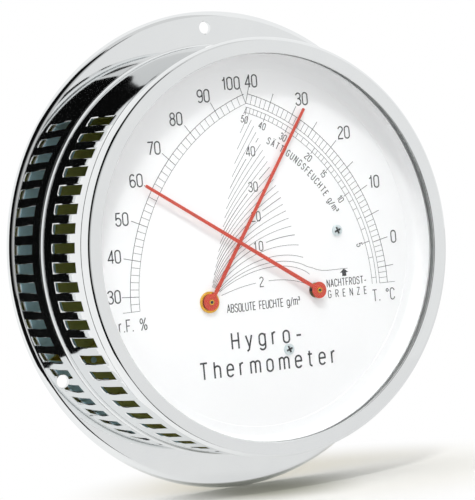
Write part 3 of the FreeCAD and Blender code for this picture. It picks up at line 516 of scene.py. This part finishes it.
# letters are in hundredths of their height: first the width, then strokes, which are lists of points (x, y)
# and arcs (centre x, centre y, radius x, radius y, from, to in degrees)
upperBowl, lowerBowl = (21, 77, 21, 23), (21, 23, 21, 23)
letterShapes = {
    " ": (30, []),
    "-": (30, [[(0, 37), (30, 37)]]),
    ".": (10, [[(5, 0), (5, 11)]]),
    "/": (36, [[(0, -10), (36, 100)]]),
    "0": (42, [[(*upperBowl, 180, 0), (*lowerBowl, 0, -180), (0, 77)]]),
    "1": (20, [[(0, 76), (16, 86), (18, 100), (18, 0)]]),
    "2": (42, [[(21, 77, 20, 23, 170, -15), (2, 20), (0, 0), (42, 0)]]),
    "3": (42, [[(20, 77, 20, 23, 165, -80), (14, 54)], [(14, 54), (20, 27, 22, 27, 85, -170)]]),
    "4": (46, [[(34, 0), (34, 100), (0, 27), (46, 27)]]),
    "5": (42, [[(38, 100), (6, 100), (2, 50), (20, 31, 22, 31, 125, -165)]]),
    "6": (42, [[(36, 88), (20, 72, 20, 28, 60, 180), (0, 28), (21, 28, 21, 28, 180, 520)]]),
    "7": (42, [[(0, 100), (42, 100), (30, 60), (14, 0)]]),
    "8": (42, [[(21, 77, 18, 23, -90, 270)], [(21, 27, 21, 27, 90, 450)]]),
    "9": (42, [[(6, 12), (22, 28, 20, 28, 240, 360), (42, 72), (21, 72, 21, 28, 0, 340)]]),
    "A": (46, [[(0, 0), (23, 100), (46, 0)], [(8, 32), (38, 32)]]),
    "B": (42, [[(0, 0), (0, 100), (20, 77, 20, 23, 90, -90), (0, 54)], [(0, 54), (21, 27, 21, 27, 90, -90), (0, 0)]]),
    "C": (42, [[(*upperBowl, 0, 180), (*lowerBowl, 180, 360)]]),
    "E": (36, [[(36, 0), (0, 0), (0, 100), (36, 100)], [(0, 52), (32, 52)]]),
    "F": (36, [[(0, 0), (0, 100), (36, 100)], [(0, 50), (31, 50)]]),
    "G": (44, [[(*upperBowl, 0, 180), (*lowerBowl, 180, 360), (42, 46), (24, 46)]]),
    "H": (42, [[(0, 0), (0, 100)], [(42, 0), (42, 100)], [(0, 51), (42, 51)]]),
    "I": (6, [[(3, 0), (3, 100)]]),
    "L": (34, [[(0, 100), (0, 0), (34, 0)]]),
    "N": (42, [[(0, 0), (0, 100), (42, 0), (42, 100)]]),
    "R": (42, [[(0, 0), (0, 100), (20, 75, 21, 25, 90, -90), (0, 50)], [(20, 50), (42, 0)]]),
    "S": (42, [[(21, 76, 20, 24, 10, 215), (36, 46), (21, 25, 21, 25, 35, -170)]]),
    "T": (44, [[(0, 100), (44, 100)], [(22, 100), (22, 0)]]),
    "U": (42, [[(0, 100), (21, 22, 21, 22, 180, 360), (42, 100)]]),
    "Z": (40, [[(0, 100), (40, 100), (0, 0), (40, 0)]]),
    "e": (38, [[(2, 40), (38, 40), (19, 52, 19, 22, 0, 180), (19, 21, 19, 21, 180, 335)]]),
    "g": (38, [[(38, 74), (38, 0), (19, -5, 19, 20, 0, -155)], [(19, 54, 19, 20, 0, 180), (19, 22, 19, 20, 180, 360)]]),
    "h": (36, [[(0, 0), (0, 100)], [(0, 50), (18, 55, 18, 19, 180, 0), (36, 0)]]),
    "m": (60, [[(0, 0), (0, 74)], [(0, 50), (15, 57, 15, 17, 180, 0), (30, 0)],
               [(30, 50), (45, 57, 15, 17, 180, 0), (60, 0)]]),
    "o": (38, [[(19, 54, 19, 20, 180, 0), (19, 20, 19, 20, 0, -180), (0, 54)]]),
    "r": (24, [[(0, 0), (0, 74)], [(0, 48), (16, 52, 16, 22, 180, 75)]]),
    "t": (30, [[(11, 95), (11, 14), (24, 14, 13, 14, 180, 280)], [(0, 74), (28, 74)]]),
    "y": (38, [[(0, 74), (20, 2)], [(38, 74), (16, -14), (4, -24)]]),
    "%": (62, [[(8, -2), (54, 102)], [(12, 77, 12, 20, 0, 360)], [(50, 23, 12, 20, 0, 360)]]),
    "°": (22, [[(11, 86, 11, 12, 0, 360)]]),
    "³": (24, [[(11, 90, 10, 10, 165, -80), (8, 79)], [(8, 79), (11, 68, 12, 12, 85, -170)]]),
}
letterShapes["O"] = letterShapes["0"]
letterShapes["Ä"] = (46, [*letterShapes["A"][1], [(9, 112), (9, 124)], [(37, 112), (37, 124)]])


def strokeLine(stroke):
    # an arc becomes points (cx + rx cos t, cy + ry sin t) every 15 degrees or so
    line = []
    for item in stroke:
        centre, reach, turn = np.array(item[:2]) / 100, np.array(item[2:4]) / 100, item[4:]
        if turn:
            turns = np.radians(np.linspace(*turn, max(4, int(abs(turn[1] - turn[0]) / 15))))
            line.append(centre + reach * np.stack([np.cos(turns), np.sin(turns)], 1))
        else:
            line.append(centre[None])
    line = np.concatenate(line)
    moved = np.linalg.norm(np.diff(line, axis=0), axis=1) > 1e-4
    return line[np.concatenate([[True], moved])]


def cornerSplit(line, stroke):
    # a line is cut where it turns by more than 60 degrees, and both ends there run on by 0.4 of the stroke
    if len(line) < 3:
        return [line]
    steps = np.diff(line, axis=0)
    steps /= np.linalg.norm(steps, axis=1)[:, None]
    cuts = np.flatnonzero((steps[:-1] * steps[1:]).sum(1) < 0.5) + 1
    ends = [0, *cuts.tolist(), len(line) - 1]
    runs = []
    for first, last in zip(ends[:-1], ends[1:]):
        run = line[first:last + 1].copy()
        if first:
            run[0] -= steps[first] * stroke * 0.4
        if last < len(line) - 1:
            run[-1] += steps[last - 1] * stroke * 0.4
        runs.append(run)
    return runs


def writing(text, height, place, stroke, width=None, bend=None, narrow=1.0, gap=0.16):
    # letters side by side fill the width about place; bend lays the line on a circle (centre, radius), where a
    # letter at distance s along it stands at the angle place - s / radius, top outwards
    widths = np.array([letterShapes[c][0] for c in text]) / 100 * narrow * height
    spaces = gap * height if width is None or len(text) < 2 else (width - widths.sum()) / (len(text) - 1)
    starts = np.concatenate([[0], np.cumsum(widths + spaces)])[:-1]
    total = starts[-1] + widths[-1]
    parts = []
    for letter, start, letterWidth in zip(text, starts, widths):
        for line in (strokeLine(s) for s in letterShapes[letter][1]):
            local = line * height * np.array([narrow, 1])
            if bend is None:
                line = np.array(place) + local + np.array([start - total / 2, 0])
            else:
                centre, radius = bend
                at = math.radians(place) - (start + letterWidth / 2 - total / 2) / radius
                across, up = np.array([math.sin(at), -math.cos(at)]), np.array([math.cos(at), math.sin(at)])
                local = local - np.array([letterWidth / 2, 0])
                line = np.array(centre) + up * radius + local[:, :1] * across + local[:, 1:] * up
            parts += [ribbon(run, stroke) for run in cornerSplit(line, stroke)]
    return parts


def spoke(pivot, angle, inner, outer, width):
    # a straight tick along the ray at that angle from the pivot
    return ribbon(polar([inner, outer], angle, 0, pivot)[:, [0, 2]], width)


def arcLine(pivot, radius, first, last, width):
    turns = np.linspace(first, last, max(8, int(abs(last - first))))
    return ribbon(polar(radius, turns, 0, pivot)[:, [0, 2]], width)


def twoScales():
    # ticks at temperatureAngle(T) and humidityAngle(RH) from their pivots, between the measured radii
    p, parts = printing, []
    for pivot, angleOf, marks, longEach in (
            (temperaturePivot, temperatureAngle, range(-8, 41), 5),
            (humidityPivot, humidityAngle, range(26, 101, 2), 10)):
        for mark in marks:
            long = mark % longEach == 0
            outer = p["tickOut"] if long or mark == marks[0] else p["outerLine"]
            parts.append(spoke(pivot, float(angleOf(mark)), p["innerLine"], outer, p["plain"] if long else p["fine"]))
    for pivot, ends in ((temperaturePivot, p["temperatureLine"]), (humidityPivot, p["humidityLine"])):
        parts.append(arcLine(pivot, p["outerLine"], *ends, p["plain"]))
        parts.append(arcLine(pivot, p["innerLine"], *ends, p["fine"]))
    high = p["numeralHeight"]
    for text, (x, z) in numerals.items():
        digits = text.strip()
        wide = {1: None, 2: 4.4, 3: 6.4}[len(digits)] if digits != "10" else 3.7
        parts += writing(digits, high, (x, z - high / 2), p["numeralStroke"], width=wide, narrow=1.1)
    return parts


def saturationBand():
    # dividing ticks where the saturated air holds a whole number of g/m3
    p, parts = printing, []
    celsius = np.linspace(-8, 40, 2000)
    contents = saturation(celsius)
    high, stroke = p["smallHeight"], p["smallStroke"]
    for content in [*range(3, 20), *range(20, 51, 2)]:
        angle = float(temperatureAngle(np.interp(content, contents, celsius)))
        isLabelled = content in p["labelled"]
        parts.append(spoke(temperaturePivot, angle, p["bandIn"] - (0.8 if isLabelled else 0), p["bandOut"],
                           p["plain"] if isLabelled else p["fine"]))
        if isLabelled:
            parts += writing(str(content), high, angle, stroke, bend=(temperaturePivot, p["labelRadius"]), gap=0.2)
    for radius in (p["bandIn"], p["bandOut"]):
        parts.append(arcLine(temperaturePivot, radius, *p["bandLine"], p["fine"]))
    for words, angle, width in (("SÄTTIGUNGSFEUCHTE", 47.3, 28.5), ("g/m³", 28.5, 5.0)):
        parts += writing(words, high, angle, stroke, width=width, bend=(temperaturePivot, p["captionRadius"]))
    return parts


def contentCurves():
    # lines of equal water content, broken where their numbers stand; the frost line runs on into its tail
    p, parts = printing, []
    for content in [*p["curves"], p["frostCurve"]]:
        line = humidityCurve(content)
        if content in p["labelledCurves"]:
            at = line[np.argmin(np.abs(line[:, 0] + 0.2))]
            clear = np.linalg.norm(line - at, axis=1) > (2.9 if content > 2 else 2.2)
            split = np.flatnonzero(np.diff(clear.astype(int)))
            pieces = [line[:split[0]], line[split[1] + 1:]]
            foot, width = (at[0], at[1] - p["curveHeight"] / 2), p["curveWidth"] if content > 2 else None
            parts += writing(str(content), p["curveHeight"], foot, p["curveStroke"], width=width, narrow=1.05)
        elif content == p["frostCurve"]:
            pieces = [np.concatenate([p["frostTail"], line])]
        else:
            pieces = [line]
        stroke = p["plain"] if content % 10 == 0 else p["fine"]
        parts += [ribbon(piece, stroke) for piece in pieces if len(piece) > 1]
    return parts


def dialWords():
    parts = []
    for words, high, foot, stroke, width, narrow in dialLines:
        parts += writing(words, high, foot, stroke, width=width, narrow=narrow)
    arrow = np.array(printing["arrow"])
    flat = np.stack([arrow[:, 0], np.full(len(arrow), -dialOut - printing["height"]), arrow[:, 1]], 1)
    return [*parts, (flat, [[6, 1, 0], [4, 3, 2], [5, 4, 2]])]


# every strip looks to the front, and its thickness is added behind it
for name, strips in (("scalePrint", twoScales()), ("bandPrint", saturationBand()),
                     ("curvePrint", contentCurves()), ("wordPrint", dialWords())):
    points, faces, _ = joined([(*strip, 0) for strip in strips])
    piece = newObject(name, points, faces, [printInk])
    film = piece.modifiers.new("ink film", "SOLIDIFY")
    film.thickness, film.offset = printing["height"] * 0.95 * mm, -1
    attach(piece, "case")
print("dial printed")


# hands, collets and screws

hands = {
    "length": 73.4, "hub": 2.75, "root": 0.68, "tip": 0.5, "point": 0.5, "thick": 0.3, "squareness": 6,
    "temperature": {"pivot": temperaturePivot, "angle": 55.4, "low": 24.7},
    "humidity": {"pivot": humidityPivot, "angle": 147.48, "low": 25.6},
}
collet = {"foot": 1.5, "below": 0.25, "neck": 0.9, "crown": 0.5, "above": 0.6}
screwHead = {
    "radius": 1.85, "high": 0.8, "dome": 0.25, "cross": 2.3, "slit": 0.6, "deep": 0.62, "turn": 20, "shank": 1.0,
    "softSide": 0.07, "softEnd": 0.1, "dialLong": 4.0, "coverLong": 3.0, "dialPlaces": ((30.8, 3.05), (8.1, -34.4)),
    "coverCircle": 62.7, "coverTurns": (90, 210, 330), "coverSeat": 1.7,
}


def handBlade(which):
    # half width: the larger of sqrt(hub^2 - s^2) and the tapering needle, closed over the point's length;
    # section |u|^n + |v|^n = 1
    h, own = hands, hands[which]
    taperFrom = h["length"] - h["point"]
    back = -h["hub"] * np.cos(np.linspace(0, math.pi * 0.93, 60))
    along = np.concatenate([back, np.linspace(h["hub"] + 0.1, taperFrom, 40),
                            taperFrom + h["point"] * np.sin(np.linspace(0.15, math.pi / 2, 8))])
    hub = np.sqrt(np.maximum(h["hub"] ** 2 - along ** 2, 0))
    needle = np.where(along > 0, h["root"] + (h["tip"] - h["root"]) * along / h["length"], 0)
    endFade = np.clip((along - taperFrom) / h["point"], 0, 1)
    half = np.maximum(hub, needle) * (1 - endFade ** 6) ** (1 / 6)
    turns = np.linspace(0, 2 * math.pi, 33)[:-1]
    power = 2 / h["squareness"]
    across = np.sign(np.cos(turns)) * np.abs(np.cos(turns)) ** power
    rise = np.sign(np.sin(turns)) * np.abs(np.sin(turns)) ** power
    s, w = along[:, None] + 0 * turns, half[:, None] * across
    out = own["low"] + h["thick"] / 2 * (1 + rise)[None] + 0 * s
    c, k = math.cos(math.radians(own["angle"])), math.sin(math.radians(own["angle"]))
    points = np.stack([own["pivot"][0] + s * c - w * k, -out, own["pivot"][1] + s * k + w * c], -1)
    return points, gridFaces(*points.shape[:2], columnsClose=True), 0


def colletTurned(which):
    c, low = collet, hands[which]["low"]
    foot, top = low - c["below"], low + c["above"]
    corners = [(0, foot), (c["foot"], foot), (c["foot"], low), (c["neck"], low),
               (c["neck"], top), (c["crown"], top), (0, top)]
    line = roundedProfile(corners, closed=False, edgeRound=0.05, support=0.02)
    return (*revolve(line, 96, hands[which]["pivot"], closed=False), 0)


def crossHead(place, out, long, front=1):
    # height over the seat: a dome h - dome (r/R)^2, less the cross, which is two slots of soft edges;
    # front is 1 for a head that looks to the front and -1 for one at the back
    s = screwHead
    rows, columns = np.concatenate([np.linspace(0, 0.97, 40), [0.99, 1.0]]) * s["radius"], 160
    turns = np.arange(columns) * 360 / columns
    u = rows[:, None] * np.cos(np.radians(turns - s["turn"]))
    v = rows[:, None] * np.sin(np.radians(turns - s["turn"]))
    dome = s["high"] - s["dome"] * (rows[:, None] / s["radius"]) ** 2
    slots = [np.clip((s["slit"] / 2 - np.abs(a)) / s["softSide"] + 0.5, 0, 1)
             * np.clip((s["cross"] / 2 - np.abs(b)) / s["softEnd"] + 0.5, 0, 1) for a, b in ((u, v), (v, u))]
    inCross = np.maximum(*slots)
    top = polar(rows[:, None], turns, out + front * (dome - s["deep"] * inCross), place)
    tip = out - front * long
    levels = np.array([(s["radius"], out), (s["shank"], out), (s["shank"], tip), (0, tip)])
    points = np.concatenate([top, polar(levels[:, :1], turns, levels[:, 1:], place)])
    faces = gridFaces(*points.shape[:2], columnsClose=True)
    # faces deep in the cross take the near-black finish of painted shade
    shaded = np.zeros(faces.shape[:2], bool)
    shaded[:len(rows) - 1] = (inCross[:-1] > 0.3) & (inCross[1:] > 0.3)
    return [(points, faces[~shaded], 0), (points, faces[shaded], 1)]


def screwHeads(name, places, out, long, node, front=1):
    heads = [part for place in places for part in crossHead(place, out, long, front)]
    makePiece(name, heads, [platedSteel, paintedCrossShade], "case", [node])


for which in ("temperature", "humidity"):
    body, node = which + "_works", which + "_hand"
    makePiece(which + "Hand", [handBlade(which)], [redLacquer], body, [node])
    makePiece(which + "Collet", [colletTurned(which)], [turnedBrass], body, [node + "_collet"])
coverPlaces = [polar(screwHead["coverCircle"], turn, 0)[[0, 2]] for turn in screwHead["coverTurns"]]
screwHeads("dialScrewHeads", screwHead["dialPlaces"], dialOut, screwHead["dialLong"], "dial_screws")
screwHeads("coverScrewHeads", coverPlaces, screwHead["coverSeat"], screwHead["coverLong"], "cover_screws", front=-1)
print("hands, collets and screws made")


# the hair: a bundle of single hairs, tied at both ends and led round the crank's saddle

hair = {
    "out": 12.5, "saddle": (15.18, -17.28), "anchor": (-0.74, -56.87), "adjuster": (50.88, 26.44),
    "strands": 14, "spread": 0.27, "thick": 0.07, "atEnds": 1.25, "follows": 14.0, "twist": 40, "steps": 30,
}


def hairLine(start, end):
    # the run's two ends in space and the unit vector between them
    start, end = (np.array([x, -hair["out"], z]) for x, z in (start, end))
    return start, end, (end - start) / np.linalg.norm(end - start)


def hairRun(start, end, first=0.0, last=1.0):
    # hair k stands at spread sqrt((k + 0.5) / n) and the golden angle times k from the middle, turned by the
    # twist along the run, and gathered by a fifth at the ties; it tapers shut at both ends
    h = hair
    start, end, aim = hairLine(start, end)
    start, end = start + aim * h["atEnds"], end - aim * h["atEnds"]
    across, ahead = np.cross(aim, (0, 1, 0)), np.array([0.0, 1.0, 0.0])
    along = np.linspace(first, last, h["steps"])
    along = np.concatenate([along[:1], along, along[-1:]])
    thick = np.full(len(along), h["thick"])
    thick[[0, -1]] = 0
    number = np.arange(h["strands"])
    spread = h["spread"] * np.sqrt((number + 0.5) / h["strands"])
    turn = np.radians(137.5 * number[:, None] + h["twist"] * along[None])
    reach = spread[:, None] * (1 - 0.2 * np.abs(2 * along[None] - 1) ** 8)
    middle = start + (end - start) * along[:, None]
    middle = middle[None] + reach[..., None] * (np.cos(turn)[..., None] * across + np.sin(turn)[..., None] * ahead)
    sixth = np.radians(np.arange(6) * 60)
    rim = np.cos(sixth)[:, None] * across + np.sin(sixth)[:, None] * ahead
    points = middle[:, :, None] + thick[None, :, None, None] * rim
    return [(strand, gridFaces(len(along), 6, columnsClose=True), 0) for strand in points]


def hairPiece(name, start, end, first=0.0, last=1.0):
    # the hair is given no body here, and its place is baked into its points
    piece = makePiece(name, hairRun(start, end, first, last), [hairBrown], None, ["hair_bundle"])
    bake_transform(piece)


hairPiece("lowerHair", hair["anchor"], hair["saddle"])
hairPiece("upperHairAtSaddle", hair["adjuster"], hair["saddle"], 0.5, 1.0)
hairPiece("upperHairAtAdjuster", hair["saddle"], hair["adjuster"], 0.5, 1.0)
print("hair made")


# the nodes that keep their CAD shape

nodeFinishes = {
    "dial_plate": dialWhite, "glass": glassClear, "glass_gasket": gasketRubber,
    "back_cover": brushedBrass, "thermometer_bush": turnedBrass,
    "humidity_arbor": bluedSteel, "temperature_arbor": bluedSteel,
}
slotFinishes = {
    "chromed_brass": chrome, "mineral_glass": glassClear, "gasket_rubber": gasketRubber, "white_lacquer": whiteLacquer,
    "red_lacquer": redLacquer, "raw_brass": rawBrass, "plated_steel": platedSteel, "spring_bronze": springBronze,
    "bimetal_strip": bimetal, "hair": hairBrown,
}
for name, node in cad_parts.items():
    for number, given in enumerate(node.data.materials):
        finish = nodeFinishes.get(name) or slotFinishes[given.name.split(".")[0]]
        node.data.materials[number] = finish
print("CAD nodes finished")


# stage, light and camera

stage = {
    # the floor: a white card that runs out into white light; its colour greys under the object as a painted contact
    # shadow
    "reach": 3000, "floor": -80.05, "floorColour": "#fbfaf5", "floorMiddle": (30, -12), "floorFade": (38, 100),
    "paintedShadeColour": "#bdbdb0", "paintedShadeMiddle": (-3, -19), "paintedShadeFade": (6, 40),
    # mirrors see more of its light in front of the object (along y) and at its left (along x)
    "mirroredAhead": (-9, -3), "mirroredAside": (-50, -25), "mirrored": 0.9,
    "floorGlow": (1.02, 0.86), "floorGlowAcross": (-45, 15),
    # the dark end of the room: azimuths, and its edge as the angles at which it stands over mirrorHeight
    "darkFrom": -50, "darkTo": 23, "darkRadius": 900, "darkBelow": 5, "darkTone": 0.003, "mirrorHeight": 60,
    "darkEdge": ((-50, 0, 12.4, 14.6, 16.2, 17.2, 18, 24), (44, 36, 27, 25, 23, 21, 16.5, 16.5)),
    "aheadAcross": (-260, 210), "aheadHeight": (180, 320), "aheadTone": 0.62,
    "worldShine": 1.0, "worldFill": 0.84,
    "keyAim": (-1.5, -3.6, 5.0), "keyDistance": 1300, "keySize": 150, "keyPower": 3.9,
}
# cards that only mirrors see: azimuths and columns, radii and heights over the floor of both long sides,
# tones, and the places along x between which these change
cards = {
    "greyCard": ((-50, 34, 120), (960, 960), (180.05, 1080.05), (0.72, 0.756), (-600, 300)),
    "darkFloor": ((-50, -5, 40), (150, 905), (0.6, 0.6), (0.003, 0.006), (-600, 300)),
    "darkPatch": ((-20, 4, 20), (94, 905), (0.3, 0.3), (0.003, 0.006), (-600, 300)),
    "rightCard": ((24, 62, 120), (850, 850), (1, 380.05), (0.87, 0.9), (350, 460)),
}
# measured from the photograph: yaw to the right, pitch up, roll; the lens is 2611.62 pixels of a 500-pixel side
view = {
    "yaw": 30.5856, "pitch": -1.7081, "roll": -4.9725, "place": (-442.27, -758.45, 25.42),
    "lens": 188.04, "sensor": 36, "near": 0.01, "far": 20}


def glow(tree, strength):
    return addNode(tree, "Emission", inputs={"Strength": strength})


def glowFinish(name, tones, span):
    # an even card whose light runs from one tone to the other between two places along x
    finish, tree, place = newFinish(name)
    closeFinish(tree, glow(tree, ramp(tree, axesOf(tree, place)[0], span, tones, "LINEAR")))
    return finish


def darkRoomFinish():
    # nearly black, but for a soft grey glow straight ahead: glow along x times a fade with height
    finish, tree, place = newFinish("darkRoom")
    axes = axesOf(tree, place)
    across = ramp(tree, axes[0], stage["aheadAcross"], (0.0, stage["aheadTone"]))
    up = ramp(tree, axes[2], stage["aheadHeight"], (1.0, 0.0))
    closeFinish(tree, glow(tree, combined(tree, "MULTIPLY_ADD", across, up, stage["darkTone"])))
    return finish


def floorFinish():
    # card and light mix by the distance from the floor's middle, and for mirrors also by the place
    finish, tree, place = newFinish("floorCard")
    s, axes, path = stage, axesOf(tree, place), addNode(tree, "LightPath").outputs

    def awayFrom(x, y):
        shifted = addNode(tree, "Mapping", inputs={
            "Vector": place, "Location": (-x * mm, -y * mm, -s["floor"] * mm)}).outputs[0]
        return addNode(tree, "VectorMath", {"operation": "LENGTH"}, {0: shifted}).outputs["Value"]

    ahead = ramp(tree, axes[1], s["mirroredAhead"], (s["mirrored"], 0.0))
    aside = ramp(tree, axes[0], s["mirroredAside"], (s["mirrored"], 0.0))
    mirrored = combined(tree, "MULTIPLY", path["Is Glossy Ray"], combined(tree, "MAXIMUM", ahead, aside))
    fade = combined(tree, "MAXIMUM", ramp(tree, awayFrom(*s["floorMiddle"]), s["floorFade"]), mirrored)
    # painted shade: nearer the contact the card's colour greys into a painted contact shadow
    paintedShadeMask = ramp(tree, awayFrom(*s["paintedShadeMiddle"]), s["paintedShadeFade"])
    tone = mixedColour(tree, paintedShadeMask, s["paintedShadeColour"], s["floorColour"])
    card = addNode(tree, "BsdfDiffuse", inputs={"Color": tone})
    leftward = ramp(tree, axes[0], s["floorGlowAcross"], s["floorGlow"])
    light = glow(tree, between(tree, path["Is Camera Ray"], leftward, 1.0))
    closeFinish(tree, addNode(tree, "MixShader", inputs={0: fade, 1: card.outputs[0], 2: light.outputs[0]}))
    return finish


def stagePlane(name, points, faces, finish, onlyShine=True):
    # planes that only shine are seen in mirrors, and nowhere else
    points, faces, _ = joined([(points, faces, 0)])
    plane = newObject(name, points, faces, [finish])
    if onlyShine:
        plane.visible_camera = plane.visible_diffuse = plane.visible_transmission = plane.visible_shadow = False


def roundSheet(azimuths, radii, heights):
    # between two lines of points (r sin a, -r cos a, height); azimuth 0 is straight ahead and grows to the right
    turns = np.radians(azimuths)
    lines = [np.stack([r * np.sin(turns), -r * np.cos(turns), h + 0 * turns], -1) for r, h in zip(radii, heights)]
    return np.stack(lines), gridFaces(2, len(turns))


def buildStage():
    s = stage
    side, low, radius = s["reach"], s["floor"], s["darkRadius"]
    corners = [(-side, -side, low), (side, -side, low), (side, side, low), (-side, side, low)]
    stagePlane("floor", corners, [[0, 1, 2, 3]], floorFinish(), onlyShine=False)
    azimuths = np.linspace(s["darkFrom"], s["darkTo"], 120)
    edge = s["mirrorHeight"] + radius * np.tan(np.radians(np.interp(azimuths, *s["darkEdge"])))
    stagePlane("darkCard", *roundSheet(azimuths, (radius, radius), (low - s["darkBelow"], edge)), darkRoomFinish())
    for name, (sweep, radii, heights, tones, span) in cards.items():
        sheet = roundSheet(np.linspace(*sweep), radii, [low + height for height in heights])
        stagePlane(name, *sheet, glowFinish(name + "Glow", tones, span))


def lookingFrom(place, forward, roll=0.0):
    # right = forward x up and up = right x forward, both turned by the roll; a camera or lamp looks along its -z
    right = np.cross(forward, (0, 0, 1))
    right /= np.linalg.norm(right)
    up = np.cross(right, forward)
    right, up = math.cos(roll) * right + math.sin(roll) * up, math.cos(roll) * up - math.sin(roll) * right
    return Matrix.Translation(np.array(place) * mm) @ Matrix(np.array([right, up, -forward]).T.tolist()).to_4x4()


def placeLight():
    # white all round, a little less for what only lights, and a softbox overhead
    s, world = stage, bpy.data.worlds.new("studio")
    world.use_nodes = True
    tree = world.node_tree
    tree.nodes.clear()
    path = addNode(tree, "LightPath").outputs
    seen = combined(tree, "MAXIMUM", path["Is Camera Ray"], path["Is Glossy Ray"])
    seen = combined(tree, "MAXIMUM", seen, path["Is Transmission Ray"])
    strength = between(tree, seen, s["worldFill"], s["worldShine"])
    sky = addNode(tree, "Background", inputs={"Color": (1, 1, 1, 1), "Strength": strength})
    addNode(tree, "OutputWorld", inputs={"Surface": sky.outputs[0]})
    bpy.context.scene.world = world
    lamp = bpy.data.lights.new("overheadSoftbox", "AREA")
    lamp.shape, lamp.size, lamp.energy = "DISK", s["keySize"] * mm, s["keyPower"]
    key = bpy.data.objects.new("overheadSoftbox", lamp)
    aim = np.array(s["keyAim"]) / np.linalg.norm(s["keyAim"])
    key.matrix_world = lookingFrom(aim * s["keyDistance"], -aim)
    key.visible_glossy = False
    bpy.context.scene.collection.objects.link(key)


def placeCamera():
    # forward = (sin yaw cos pitch, cos yaw cos pitch, sin pitch)
    yaw, pitch, roll = (math.radians(view[k]) for k in ("yaw", "pitch", "roll"))
    forward = np.array([math.sin(yaw) * math.cos(pitch), math.cos(yaw) * math.cos(pitch), math.sin(pitch)])
    lens = bpy.data.cameras.new("camera")
    lens.lens, lens.sensor_width, lens.clip_start, lens.clip_end = (view[k] for k in ("lens", "sensor", "near", "far"))
    camera = bpy.data.objects.new("camera", lens)
    camera.matrix_world = lookingFrom(view["place"], forward, roll)
    bpy.context.scene.collection.objects.link(camera)
    bpy.context.scene.camera = camera


buildStage()
placeLight()
placeCamera()
bpy.context.scene.view_settings.view_transform = "Standard"
print("stage, light and camera set")
